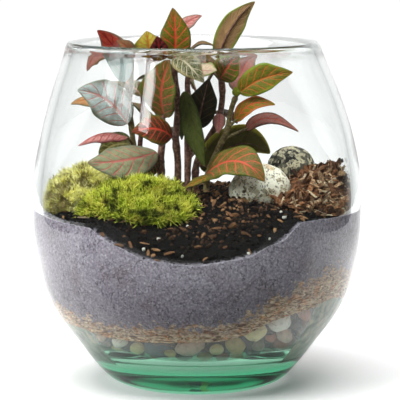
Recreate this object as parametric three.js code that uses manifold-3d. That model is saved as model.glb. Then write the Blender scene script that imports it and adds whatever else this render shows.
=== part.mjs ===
// A glass plant terrarium: a round open bowl of thick recycled glass, holding a gravel layer, a fibre
// layer, dark potting soil, two moss cushions, a heap of bark mulch, two granite stones and nine leafy
// stems of a nerve plant (Fittonia).
// Millimetres, +Z up. The origin is on the floor under the bowl's axis, and the front faces -Y.

import * as THREE from 'three';
import { mergeVertices } from 'three/addons/utils/BufferGeometryUtils.js';
import Module from 'manifold-3d';

const wasm = await Module();
wasm.setup();

// Driving dimensions of the bowl
const SECTORS = 36; // sides of every round part
const CLEAR = 0.3; // gap between pieces that touch
const FOOT_RADIUS = 40; // flat underside
const BOWL_OUTER = [
  [46.2, 3.2], [54.4, 11.9], [63, 23.2], [71.2, 33.8], [77.9, 45.5], [82.7, 62], [85.2, 85], [84.7, 109],
  [80.9, 128.5], [75.2, 148], [66.6, 171.5],
]; // [radius, height] up the outside
const RIM_BEAD = [[65.7, 174.8], [64, 177], [62, 175.4]]; // rolled rim, over the top
const BOWL_INNER = [
  [62.3, 171.5], [70.2, 149.5], [76.4, 127.8], [79.8, 107], [80.2, 86], [77.8, 62], [72.6, 45.6], [64.8, 33.2],
  [57.4, 24.5], [50, 18.8], [38, 16.4],
]; // [radius, height] down the inside
const FLOOR_HEIGHT = 15.8; // inside, on the axis
const NECK_HEIGHT = 128; // above it the hand-blown neck leans to the left
const NECK_LEAN = 2.1; // how far off the axis the rim lies
const NECK_CURVE = 1.3; // how late the neck starts to lean

// Heights at which the layers meet the glass, as [azimuth in degrees, height]; 0 is +X, -90 the front
const GRAVEL_EDGE = [
  [-148, 35], [-132, 32], [-110, 31.5], [-88, 32.5], [-75, 33], [-66, 38], [-58, 43.5], [-44, 47], [-28, 49],
  [0, 44], [40, 38], [90, 34], [140, 34], [180, 35],
];
const FIBRE_EDGE = [
  [-155, 44], [-140, 39.5], [-122, 37], [-103, 39.5], [-88, 39], [-77, 40], [-69, 45.5], [-60, 52.5], [-46, 59],
  [-33, 63.5], [-5, 57], [40, 48], [90, 41], [140, 41], [180, 43],
];
const SOIL_EDGE = [
  [-165, 90], [-145, 88.5], [-131, 88], [-121, 80.5], [-105, 73], [-90, 71.6], [-75, 74.4], [-61, 81.5],
  [-50, 91], [-30, 90.6], [0, 90], [45, 91.5], [90, 91], [135, 92], [180, 91],
];
const GRAVEL_CENTRE = 34; // heights on the axis
const FIBRE_CENTRE = 41;
const SOIL_CENTRE = 98.5;
const BURIED_DISH = 2; // how late a layer rises or falls towards the glass
const SETTLED = 0.8; // the fibre's gap over the pebbles
const SOIL_DISH = 1.6; // how late the soil falls off towards the glass
const LUMP = 0.7; // height of the soil's lumps
const SOIL_RINGS = [0, 0.3, 0.52, 0.7, 0.84, 0.94, 1]; // rings over the soil, as shares of its radius
const LAYER_RINGS = [0, 0.5, 0.85, 1]; // rings between two layers
const MOUND_RINGS = [0, 0.4, 0.72, 0.92, 1]; // rings over a mound
const MOUND_DEPTH = 3; // how far a mound reaches down before it is cut off along the soil
const MOSS_SIDES = 22;
const HEAP_SIDES = 20;
const ROOTED = 12; // how deep a stem stands in its hole
const HOLE_PLAY = 0.45; // how much wider a hole is than its stem
const HOLE_SIDES = 8;

// Leaves and stems
const BLADE = 0.8; // thickness of a leaf
const PETIOLE = 0.95; // radius of a leaf's stalk
const STALK_END = 0.05; // how far the stalk runs into the leaf, as a share of its rib
const SLIGHT_FOLD = 0.15; // how far the edges of a plain leaf rise, as a share of its half width
const STEM_SIDES = 6;
const STEM_STEP = 10; // length of a stem's straight pieces
const STALK_SIDES = 3;
const STALK_STEPS = 2;
const STATIONS = [0, 0.12, 0.32, 0.55, 0.76, 0.92, 1]; // along a leaf
const ACROSS = [-1, 0, 1]; // over a leaf

const COLOURS = {
  glass: { color: 0xbfe3d4, roughness: 0.04, metalness: 0, transparent: true, opacity: 0.35 },
  gravel: { color: 0xb9a37e, roughness: 0.6, metalness: 0 },
  fibre: { color: 0x8d6a49, roughness: 0.9, metalness: 0 },
  soil: { color: 0x35302e, roughness: 0.95, metalness: 0 },
  bark: { color: 0x6b432c, roughness: 0.9, metalness: 0 },
  paleMoss: { color: 0xa9b44d, roughness: 0.95, metalness: 0 },
  greenMoss: { color: 0x7d9a1c, roughness: 0.95, metalness: 0 },
  greyStone: { color: 0x86867f, roughness: 0.7, metalness: 0 },
  creamStone: { color: 0xcfc9b0, roughness: 0.7, metalness: 0 },
  plant: { color: 0x66793a, roughness: 0.5, metalness: 0 },
};

// Small tools

// A repeatable random number source.
function seeded(seed) {
  let state = seed;
  return () => {
    state = (Math.imul(state, 1664525) + 1013904223) >>> 0;
    return state / 4294967296;
  };
}

const vector = ([x, y, z]) => new THREE.Vector3(x, y, z);
const mix = (a, b, t) => a + (b - a) * t;
const degrees = (x, y) => THREE.MathUtils.radToDeg(Math.atan2(y, x));

// A smooth closed function of the azimuth through a table of [azimuth, value].
function around(table) {
  const first = table[0];
  const rows = [...table, [first[0] + 360, first[1]]];
  return (azimuth) => {
    let turn = azimuth;
    while (turn < rows[0][0]) turn += 360;
    while (turn > rows[rows.length - 1][0]) turn -= 360;
    const at = rows.findIndex((row, i) => i > 0 && turn <= row[0]);
    const [a, low] = rows[at - 1];
    const [b, high] = rows[at];
    const t = (turn - a) / (b - a);
    return mix(low, high, (1 - Math.cos(Math.PI * t)) / 2);
  };
}

// The radius of the inside of the glass at a height.
function innerRadius(height) {
  const rows = [...BOWL_INNER].reverse();
  if (height <= rows[0][1]) return rows[0][0];
  const at = rows.findIndex((row) => height <= row[1]);
  if (at < 0) return rows[rows.length - 1][0];
  const [low, bottom] = rows[at - 1];
  const [high, top] = rows[at];
  return mix(low, high, (height - bottom) / (top - bottom));
}

// The outermost radius that a piece may have at a height.
const reach = (height) => innerRadius(height) - CLEAR;

// A closed solid for joining and cutting.
function solid(geometry) {
  geometry.deleteAttribute('normal');
  geometry.deleteAttribute('uv');
  const merged = mergeVertices(geometry, 1e-4);
  const corners = merged.index.array;
  const kept = [];
  for (let i = 0; i < corners.length; i += 3) {
    const [a, b, c] = corners.slice(i, i + 3);
    if (a !== b && b !== c && c !== a) kept.push(a, b, c);
  }
  const vertProperties = Float32Array.from(merged.attributes.position.array);
  const triVerts = Uint32Array.from(kept);
  return new wasm.Manifold(new wasm.Mesh({ numProp: 3, vertProperties, triVerts }));
}

const join = (solids) => solids.reduce((all, next) => all.add(next));

// The corners of the largest connected shell: a loose scrap or a sealed hollow is left out.
function mainShell(corners, count) {
  const parent = Array.from({ length: count }, (_, i) => i);
  const rootOf = (i) => {
    let at = i;
    while (parent[at] !== at) at = parent[at];
    parent[i] = at;
    return at;
  };
  for (let i = 0; i < corners.length; i += 3) {
    parent[rootOf(corners[i + 1])] = rootOf(corners[i]);
    parent[rootOf(corners[i + 2])] = rootOf(corners[i]);
  }
  const shells = new Map();
  for (let i = 0; i < corners.length; i += 3) {
    const root = rootOf(corners[i]);
    shells.set(root, [...(shells.get(root) ?? []), i]);
  }
  const largest = [...shells.values()].sort((a, b) => b.length - a.length)[0];
  return largest.flatMap((i) => [corners[i], corners[i + 1], corners[i + 2]]);
}

// The named mesh of a finished solid.
function piece(name, shape, look) {
  const { vertProperties, triVerts } = shape.getMesh();
  const loose = new THREE.BufferGeometry();
  loose.setAttribute('position', new THREE.BufferAttribute(vertProperties, 3));
  loose.setIndex(mainShell(triVerts, vertProperties.length / 3));
  const geometry = loose.toNonIndexed();
  geometry.computeVertexNormals();
  const mesh = new THREE.Mesh(geometry, new THREE.MeshStandardMaterial(look));
  mesh.name = name;
  return mesh;
}

// A geometry from rows of points, from the quads between them and from the lids that close it.
function surface(points, faces) {
  const geometry = new THREE.BufferGeometry();
  geometry.setAttribute('position', new THREE.Float32BufferAttribute(points.flat(), 3));
  geometry.setIndex(faces.flatMap(([a, b, c, d]) => [a, b, c, a, c, d]));
  return geometry;
}

// A closed skin through one line of points for each azimuth, from the axis below to the axis above.
// Its quads are split alike below and above, so that two layers meet without crossing.
function skin(lines) {
  const length = lines[0].length;
  const faces = [];
  lines.forEach((line, j) => {
    const next = (j + 1) % lines.length;
    for (let k = 0; k < length - 1; k += 1) {
      const [a, b, c, d] = [j * length + k, next * length + k, next * length + k + 1, j * length + k + 1];
      const outwards = Math.hypot(line[k + 1][0], line[k + 1][1]) > Math.hypot(line[k][0], line[k][1]);
      faces.push(outwards ? [b, c, d, a] : [a, b, c, d]);
    }
  });
  return solid(surface(lines.flat(), faces));
}

// Landscape

const gravelEdge = around(GRAVEL_EDGE);
const fibreEdge = around(FIBRE_EDGE);
const soilEdge = around(SOIL_EDGE);

// Height of a layer's top: its edge height at the glass, and a flatter level inside.
function layerTop(edge, centre, dish) {
  return (x, y) => {
    const height = edge(degrees(x, y));
    const share = Math.min(1, Math.hypot(x, y) / reach(height));
    return mix(centre, height, share ** dish);
  };
}

const gravelTop = layerTop(gravelEdge, GRAVEL_CENTRE, BURIED_DISH);
const fibreTop = layerTop(fibreEdge, FIBRE_CENTRE, BURIED_DISH);
const soilLevel = layerTop(soilEdge, SOIL_CENTRE, SOIL_DISH);

// The soil's level with its lumps, which fade out at the glass.
function soilTop(x, y) {
  const share = Math.min(1, Math.hypot(x, y) / 80);
  const broad = Math.sin(x * 0.31 + y * 0.17) * Math.cos(y * 0.27 - x * 0.11);
  const lumps = broad + 0.6 * Math.sin(x * 0.63 - y * 0.51);
  return soilLevel(x, y) + LUMP * lumps * (1 - share ** 4);
}

// A layer between two height functions. under and over are its rings below and above, as shares of
// the radius of the glass, and sills the heights at which its side follows the glass.
function layer({ bottom, top, sills, under, over, sectors = SECTORS }) {
  const lines = [];
  for (let j = 0; j < sectors; j += 1) {
    const turn = (j / sectors) * 2 * Math.PI;
    const put = (radius, height) => [radius * Math.cos(turn), radius * Math.sin(turn), height];
    const foot = (height) => height(1000 * Math.cos(turn), 1000 * Math.sin(turn));
    const low = foot(bottom);
    const high = foot(top);
    const sheet = (height, edge, share) => {
      const radius = share * reach(edge);
      return put(radius, height(radius * Math.cos(turn), radius * Math.sin(turn)));
    };
    const below = under.map((share) => sheet(bottom, low, share));
    const side = sills.map((t) => put(reach(mix(low, high, t)), mix(low, high, t)));
    const above = [...over].reverse().map((share) => sheet(top, high, share));
    lines.push([...below, ...side, ...above]);
  }
  return skin(lines);
}

const raised = (height, by) => (x, y) => height(x, y) + by;
const ground = (x, y) => soilTop(x, y) + CLEAR;

// Glass

// The bowl is one lathed wall, with a thick floor, a flat foot, a rolled rim and a slightly leaning neck.
function glassBowl() {
  const outline = [[0, 0], [FOOT_RADIUS, 0], ...BOWL_OUTER, ...RIM_BEAD, ...BOWL_INNER, [0, FLOOR_HEIGHT]];
  const lathe = new THREE.LatheGeometry(outline.map(([r, z]) => new THREE.Vector2(r, z)), SECTORS);
  lathe.rotateX(Math.PI / 2);
  const at = lathe.attributes.position;
  const neck = RIM_BEAD[1][1] - NECK_HEIGHT;
  for (let i = 0; i < at.count; i += 1) {
    const above = Math.max(0, at.getZ(i) - NECK_HEIGHT) / neck;
    at.setX(i, at.getX(i) - NECK_LEAN * above ** NECK_CURVE);
  }
  return solid(lathe);
}

// Stones and pebbles

// A pebble: a rounded, slightly lumpy ellipsoid.
function pebble({ centre, radii, turn, tilt = 0, detail, lumps = 0.1, phase = 0 }) {
  const stone = new THREE.IcosahedronGeometry(1, detail);
  const at = stone.attributes.position;
  for (let i = 0; i < at.count; i += 1) {
    const [x, y, z] = [at.getX(i), at.getY(i), at.getZ(i)];
    const wave = Math.sin(2.3 * x + phase) * Math.cos(1.9 * y - phase) + 0.5 * Math.sin(3.1 * z + 2 * phase);
    const swell = 1 + lumps * wave;
    at.setXYZ(i, x * swell * radii[0], y * swell * radii[1], z * swell * radii[2]);
  }
  stone.rotateX(tilt);
  stone.rotateZ(turn);
  stone.translate(...centre);
  return stone;
}

// Moves a geometry inwards and down until it lies inside the glass and under a ceiling.
function seat(geometry, ceiling) {
  const at = geometry.attributes.position;
  let above = 0;
  for (let i = 0; i < at.count; i += 1) above = Math.max(above, at.getZ(i) - ceiling(at.getX(i), at.getY(i)));
  geometry.translate(0, 0, -above);
  geometry.computeBoundingSphere();
  const { x, y } = geometry.boundingSphere.center;
  let outside = 0;
  for (let i = 0; i < at.count; i += 1) {
    outside = Math.max(outside, Math.hypot(at.getX(i), at.getY(i)) - reach(at.getZ(i)));
  }
  const far = Math.hypot(x, y);
  geometry.translate((-x / far) * outside, (-y / far) * outside, 0);
  return geometry;
}

// The gravel: a core that fills the floor of the bowl, with pebbles standing out all round it.
function gravelLayer() {
  const random = seeded(11);
  const core = layer({
    bottom: () => FLOOR_HEIGHT + 2,
    top: raised(gravelTop, -1),
    sills: [],
    under: [0, 0.82],
    over: [0, 0.5, 0.88],
  });
  const pebbles = [];
  const rows = [
    { height: 22, count: 13, size: 7 },
    { height: 27, count: 15, size: 7 },
    { height: 36, count: 5, size: 6.6, from: -62, to: 20 },
  ];
  rows.forEach(({ height, count, size, from = 0, to = 360 }) => {
    for (let i = 0; i < count; i += 1) {
      const azimuth = THREE.MathUtils.degToRad(from + ((to - from) * (i + 0.6 * random())) / count);
      const grown = size * (0.8 + 0.5 * random());
      const centreHeight = height + 2 * random();
      const out = reach(centreHeight) - grown * 0.75;
      pebbles.push({
        centre: [out * Math.cos(azimuth), out * Math.sin(azimuth), centreHeight],
        radii: [grown * 0.75, grown * (0.95 + 0.4 * random()), grown * 0.66],
        turn: azimuth,
        detail: 0,
        lumps: 0.12,
        phase: 6 * random(),
      });
    }
  });
  const stones = pebbles.map((data) => solid(seat(pebble(data), raised(gravelTop, -CLEAR))));
  return join([core, ...stones]);
}

// The fibre lies over the pebbles.
function fibreLayer() {
  return layer({
    bottom: raised(gravelTop, SETTLED),
    top: fibreTop,
    sills: [0.5],
    under: LAYER_RINGS,
    over: LAYER_RINGS,
  });
}

const STONE_FRONT = {
  centre: [32, -6, 99.5],
  radii: [16.2, 12.5, 13.2],
  turn: 0.15,
  tilt: 0.1,
  detail: 2,
  lumps: 0.07,
  phase: 0.6,
};
const STONE_BACK = {
  centre: [50.5, 23, 106.3],
  radii: [13.6, 13.4, 12.6],
  turn: -0.3,
  tilt: 0.15,
  detail: 2,
  lumps: 0.06,
  phase: 2.1,
};

// The same stone, grown all round by a margin, to cut its bed.
function bed(stone, margin) {
  return solid(pebble({ ...stone, radii: stone.radii.map((radius) => radius + margin) }));
}

// Mounds on the soil

// How far out a point lies in an oval, from 0 in the middle to 1 on its edge.
function ovalShare({ centre, radii, turn = 0 }, x, y) {
  const [dx, dy] = [x - centre[0], y - centre[1]];
  const along = dx * Math.cos(turn) + dy * Math.sin(turn);
  const across = dy * Math.cos(turn) - dx * Math.sin(turn);
  return Math.hypot(along / radii[0], across / radii[1]);
}

// The height of a mound's top over an oval.
function moundTop(oval, x, y) {
  const share = Math.min(1, ovalShare(oval, x, y));
  const lumps = Math.sin(x * 0.45 + 1.3) * Math.sin(y * 0.4 - 0.7) + 0.5 * Math.sin(x * 0.9 - y * 0.8);
  const crown = oval.height * (1 - share ** 2) ** oval.slope;
  return soilTop(x, y) + crown + lumps * (1 - share ** 3);
}

// A point drawn in to the glass where it would cross it.
function inside(x, y, z) {
  const out = Math.hypot(x, y);
  const shrink = Math.min(1, reach(z) / Math.max(out, 1e-6));
  return [x * shrink, y * shrink, z];
}

// A mound: a lumpy dome on an oval, cut off along the soil.
function mound(oval, sectors) {
  const lines = [];
  for (let j = 0; j < sectors; j += 1) {
    const turn = (j / sectors) * 2 * Math.PI;
    const wobble = 1 + 0.06 * Math.sin(3 * turn + oval.centre[0]) + 0.04 * Math.sin(7 * turn);
    const at = (share) => {
      const [u, v] = [share * oval.radii[0] * Math.cos(turn), share * oval.radii[1] * Math.sin(turn)];
      const [c, s] = [Math.cos(oval.turn ?? 0), Math.sin(oval.turn ?? 0)];
      const grow = mix(1, wobble, share);
      return [oval.centre[0] + grow * (u * c - v * s), oval.centre[1] + grow * (u * s + v * c)];
    };
    const below = [0, 1].map((share) => {
      const [x, y] = at(share);
      return inside(x, y, soilTop(x, y) - MOUND_DEPTH);
    });
    const above = [...MOUND_RINGS].reverse().map((share) => {
      const [x, y] = at(share);
      return inside(x, y, moundTop(oval, x, y));
    });
    lines.push([...below, ...above]);
  }
  return skin(lines).subtract(groundCutter);
}

// A tuft: a slim pyramid whose root is sunk in its mound.
function tuft(x, y, z, height, width, lean, turn) {
  const cone = new THREE.ConeGeometry(width, height, 3);
  cone.rotateX(Math.PI / 2);
  cone.translate(0, 0, height / 2 - 1.6);
  cone.rotateY(lean);
  cone.rotateZ(turn);
  cone.translate(x, y, z);
  return cone;
}

// A chip: a flat bar with cut corners, lying at a slope.
function chip(x, y, z, [long, wide, thick], slope, turn, roll = 0) {
  const bar = new THREE.BoxGeometry(long, wide, thick);
  const at = bar.attributes.position;
  for (let i = 0; i < at.count; i += 1) {
    const narrow = at.getX(i) > 0 ? 0.5 : 0.85;
    at.setY(i, at.getY(i) * narrow + (at.getX(i) > 0 ? 0.15 * wide : 0));
  }
  bar.rotateX(roll);
  bar.rotateY(slope);
  bar.rotateZ(turn);
  bar.translate(x, y, z);
  return bar;
}

// Whether every corner of a geometry lies inside the glass.
function fits(geometry) {
  const at = geometry.attributes.position;
  for (let i = 0; i < at.count; i += 1) {
    if (Math.hypot(at.getX(i), at.getY(i)) > reach(at.getZ(i)) - 0.1) return false;
  }
  return true;
}

const groundCutter = layer({
  bottom: () => 60,
  top: ground,
  sills: [],
  under: [0, 1.03],
  over: [...SOIL_RINGS, 1.03],
});

// Ovals on which the mounds lie; slope is low for a steep edge and high for a flat one.
const MOSS_LEFT = { centre: [-60, -1], radii: [21, 27], turn: -0.25, height: 14, slope: 0.5 };
const MOSS_FRONT = { centre: [-30, -29.5], radii: [29, 20.5], turn: -0.12, height: 10, slope: 0.5 };
const LEFT_TUFTS = { count: 36, seed: 3, yields: true };
const FRONT_TUFTS = { count: 42, seed: 8, yields: false };
const BARK_HEAP = { centre: [76, 0], radii: [46, 52], turn: 0, height: 18, slope: 2 };

// Whether a spot is in the way of a stone.
function nearStone(x, y, z, margin) {
  return [STONE_FRONT, STONE_BACK].some(({ centre, radii }) => {
    const [dx, dy, dz] = [x - centre[0], y - centre[1], z - centre[2]];
    return Math.hypot(dx / (radii[0] + margin), dy / (radii[1] + margin), dz / (radii[2] + margin)) < 1;
  });
}

// A moss cushion: its mound, covered with tufts except where it meets its neighbour, to which it may
// yield its ground.
function mossCushion(oval, neighbour, { count, seed, yields }) {
  const random = seeded(seed);
  let cushion = mound(oval, MOSS_SIDES);
  const free = (x, y) => ovalShare(oval, x, y) < 0.93 && ovalShare(neighbour, x, y) > 1.18;
  const tufts = [];
  while (tufts.length < count) {
    const x = oval.centre[0] + oval.radii[0] * (2 * random() - 1);
    const y = oval.centre[1] + oval.radii[1] * (2 * random() - 1);
    const [height, width] = [3.6 + 2.4 * random(), 1.8 + random()];
    const [lean, turn] = [0.5 * random(), 2 * Math.PI * random()];
    const cone = tuft(x, y, moundTop(oval, x, y) - 0.3, height, width, lean, turn);
    if (free(x, y) && fits(cone)) tufts.push(solid(cone));
  }
  if (yields) {
    const grown = { ...neighbour, radii: neighbour.radii.map((r) => r + 1.4), height: neighbour.height + 2 };
    cushion = cushion.subtract(mound(grown, MOSS_SIDES));
  }
  return join([cushion, ...tufts]);
}

// The bark: a heap against the glass, covered with chips, with beds for the two stones.
function barkMulch() {
  const random = seeded(29);
  const beds = [STONE_FRONT, STONE_BACK].map((stone) => bed(stone, 0.5));
  const heap = beds.reduce((all, cut) => all.subtract(cut), mound(BARK_HEAP, HEAP_SIDES));
  const chips = [];
  while (chips.length < 22) {
    const x = BARK_HEAP.centre[0] + BARK_HEAP.radii[0] * (2 * random() - 1);
    const y = BARK_HEAP.centre[1] + BARK_HEAP.radii[1] * (2 * random() - 1);
    const z = moundTop(BARK_HEAP, x, y);
    const size = [7 + 7 * random(), 2 + 2.4 * random(), 1.3 + random()];
    const bar = chip(x, y, z, size, 0.5 * (random() - 0.5), 2 * Math.PI * random(), 0.8 * (random() - 0.5));
    const lies = ovalShare(BARK_HEAP, x, y) < 0.66 && !nearStone(x, y, z, size[0] / 2 + 1);
    if (lies && fits(bar)) chips.push(solid(bar));
  }
  const spikes = [
    chip(74.5, 5, 109.5, [11, 2.6, 1.5], -1.25, 0.3),
    chip(70, 4, 109, [11, 2.6, 1.5], -1.35, 2.8),
    chip(71, -14, 106, [10, 3, 1.5], -0.8, 1.1),
  ];
  return join([heap, ...chips, ...spikes.filter(fits).map(solid)]);
}

// The soil, with its loose chips, the beds of the stones and a plain hole for each stem.
function pottingSoil(stems) {
  const random = seeded(5);
  const bulk = layer({
    bottom: raised(fibreTop, CLEAR),
    top: soilTop,
    sills: [0.22, 0.46, 0.74],
    under: LAYER_RINGS,
    over: SOIL_RINGS,
  });
  const chips = [];
  const covers = [MOSS_LEFT, MOSS_FRONT, BARK_HEAP];
  while (chips.length < 11) {
    const [azimuth, out] = [2 * Math.PI * random(), 10 + 62 * random()];
    const [x, y] = [out * Math.cos(azimuth), out * Math.sin(azimuth)];
    const size = [4 + 5 * random(), 2 + 2 * random(), 1.6 + random()];
    const bar = chip(x, y, soilTop(x, y), size, 0.3 * (random() - 0.5), 6 * random());
    const open = covers.every((oval) => ovalShare(oval, x, y) > 1.3);
    const loose = stems.every(({ root }) => Math.hypot(x - root[0], y - root[1]) > 9);
    if (open && loose && fits(bar) && !nearStone(x, y, soilTop(x, y), 6)) chips.push(solid(bar));
  }
  const holes = stems.map(({ root: [x, y], radius }) => {
    const length = ROOTED + 6;
    const hole = new THREE.CylinderGeometry(radius + HOLE_PLAY, radius + HOLE_PLAY, length, HOLE_SIDES);
    hole.rotateX(Math.PI / 2);
    hole.translate(x, y, soilTop(x, y) - ROOTED - CLEAR + length / 2);
    return solid(hole);
  });
  return [bed(STONE_FRONT, CLEAR), bed(STONE_BACK, CLEAR), ...holes].reduce(
    (soil, cut) => soil.subtract(cut),
    join([bulk, ...chips]),
  );
}

// Leafy stems

// A tube along a curve.
function tube(curve, radius, sides, steps) {
  const ring = [];
  for (let i = 0; i < sides; i += 1) {
    const turn = (i / sides) * 2 * Math.PI;
    ring.push(new THREE.Vector2(radius * Math.cos(turn), radius * Math.sin(turn)));
  }
  const options = { steps, bevelEnabled: false, extrudePath: curve };
  return solid(new THREE.ExtrudeGeometry(new THREE.Shape(ring), options));
}

// Half the width of a leaf at t, from its stalk at 0 to its point at 1, as a share of the widest half.
const leafShape = (t) => 2.16 * t ** 0.5 * (1 - t) ** 0.62;

// The curve of a leaf's rib, which passes through its bend half way.
function leafRib({ base, bend, tip }) {
  const ends = vector(base).add(vector(tip)).multiplyScalar(0.5);
  const control = vector(bend).multiplyScalar(2).sub(ends);
  return new THREE.QuadraticBezierCurve3(vector(base), control, vector(tip));
}

// A leaf: a thin blade along its rib. face is where its upper side looks, and fold lifts its two
// halves into a V.
function leaf({ base, bend, tip, width, face, fold = SLIGHT_FOLD }) {
  const rib = leafRib({ base, bend, tip });
  const points = [];
  const rows = STATIONS.length;
  const columns = ACROSS.length;
  [BLADE / 2, -BLADE / 2].forEach((lift) => {
    STATIONS.forEach((t) => {
      const along = rib.getTangent(t);
      const side = vector(face).cross(along).normalize();
      const up = along.clone().cross(side);
      const half = (width / 2) * leafShape(t);
      ACROSS.forEach((u) => {
        const rise = half * fold * Math.abs(u) + lift;
        points.push(rib.getPoint(t).addScaledVector(side, u * half).addScaledVector(up, rise).toArray());
      });
    });
  });
  const faces = [];
  const under = rows * columns;
  const at = (i, k) => i * columns + k;
  for (let i = 0; i < rows - 1; i += 1) {
    for (let k = 0; k < columns - 1; k += 1) {
      const [a, b, c, d] = [at(i, k), at(i + 1, k), at(i + 1, k + 1), at(i, k + 1)];
      faces.push([a, b, c, d], [c + under, b + under, a + under, d + under]);
    }
    const [left, leftNext] = [at(i, 0), at(i + 1, 0)];
    const [right, rightNext] = [at(i, columns - 1), at(i + 1, columns - 1)];
    faces.push([left, left + under, leftNext + under, leftNext]);
    faces.push([right, rightNext, rightNext + under, right + under]);
  }
  return solid(surface(points, faces));
}

// A stem, its leaves and their stalks as one body. Each leaf grows from a share of the stem's length.
function leafyStem({ root: [x, y], radius, path, leaves }) {
  const level = soilTop(x, y);
  const rooted = [[x, y, level - ROOTED], [x, y, level + 0.5], [x, y, level + 5]].map(vector);
  const curve = new THREE.CatmullRomCurve3([...rooted, ...path.map(vector)]);
  const steps = Math.round(curve.getLength() / STEM_STEP);
  const parts = [tube(curve, radius, STEM_SIDES, steps)];
  leaves.forEach((data) => {
    const start = curve.getPointAt(data.from);
    const rib = leafRib(data);
    const base = vector(data.base);
    const middle = start.clone().lerp(base, 0.5).add(new THREE.Vector3(0, 0, start.distanceTo(base) * 0.08));
    const stalk = new THREE.QuadraticBezierCurve3(start, middle, rib.getPoint(STALK_END));
    parts.push(tube(stalk, PETIOLE, STALK_SIDES, STALK_STEPS), leaf(data));
  });
  return join(parts);
}

// A leaf's row: the share of the stem's length at which it grows, the base, middle and tip of its rib,
// its width, where its upper side looks, and its fold.
const leafAt = (from, base, bend, tip, width, face, fold) => ({ from, base, bend, tip, width, face, fold });

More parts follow.
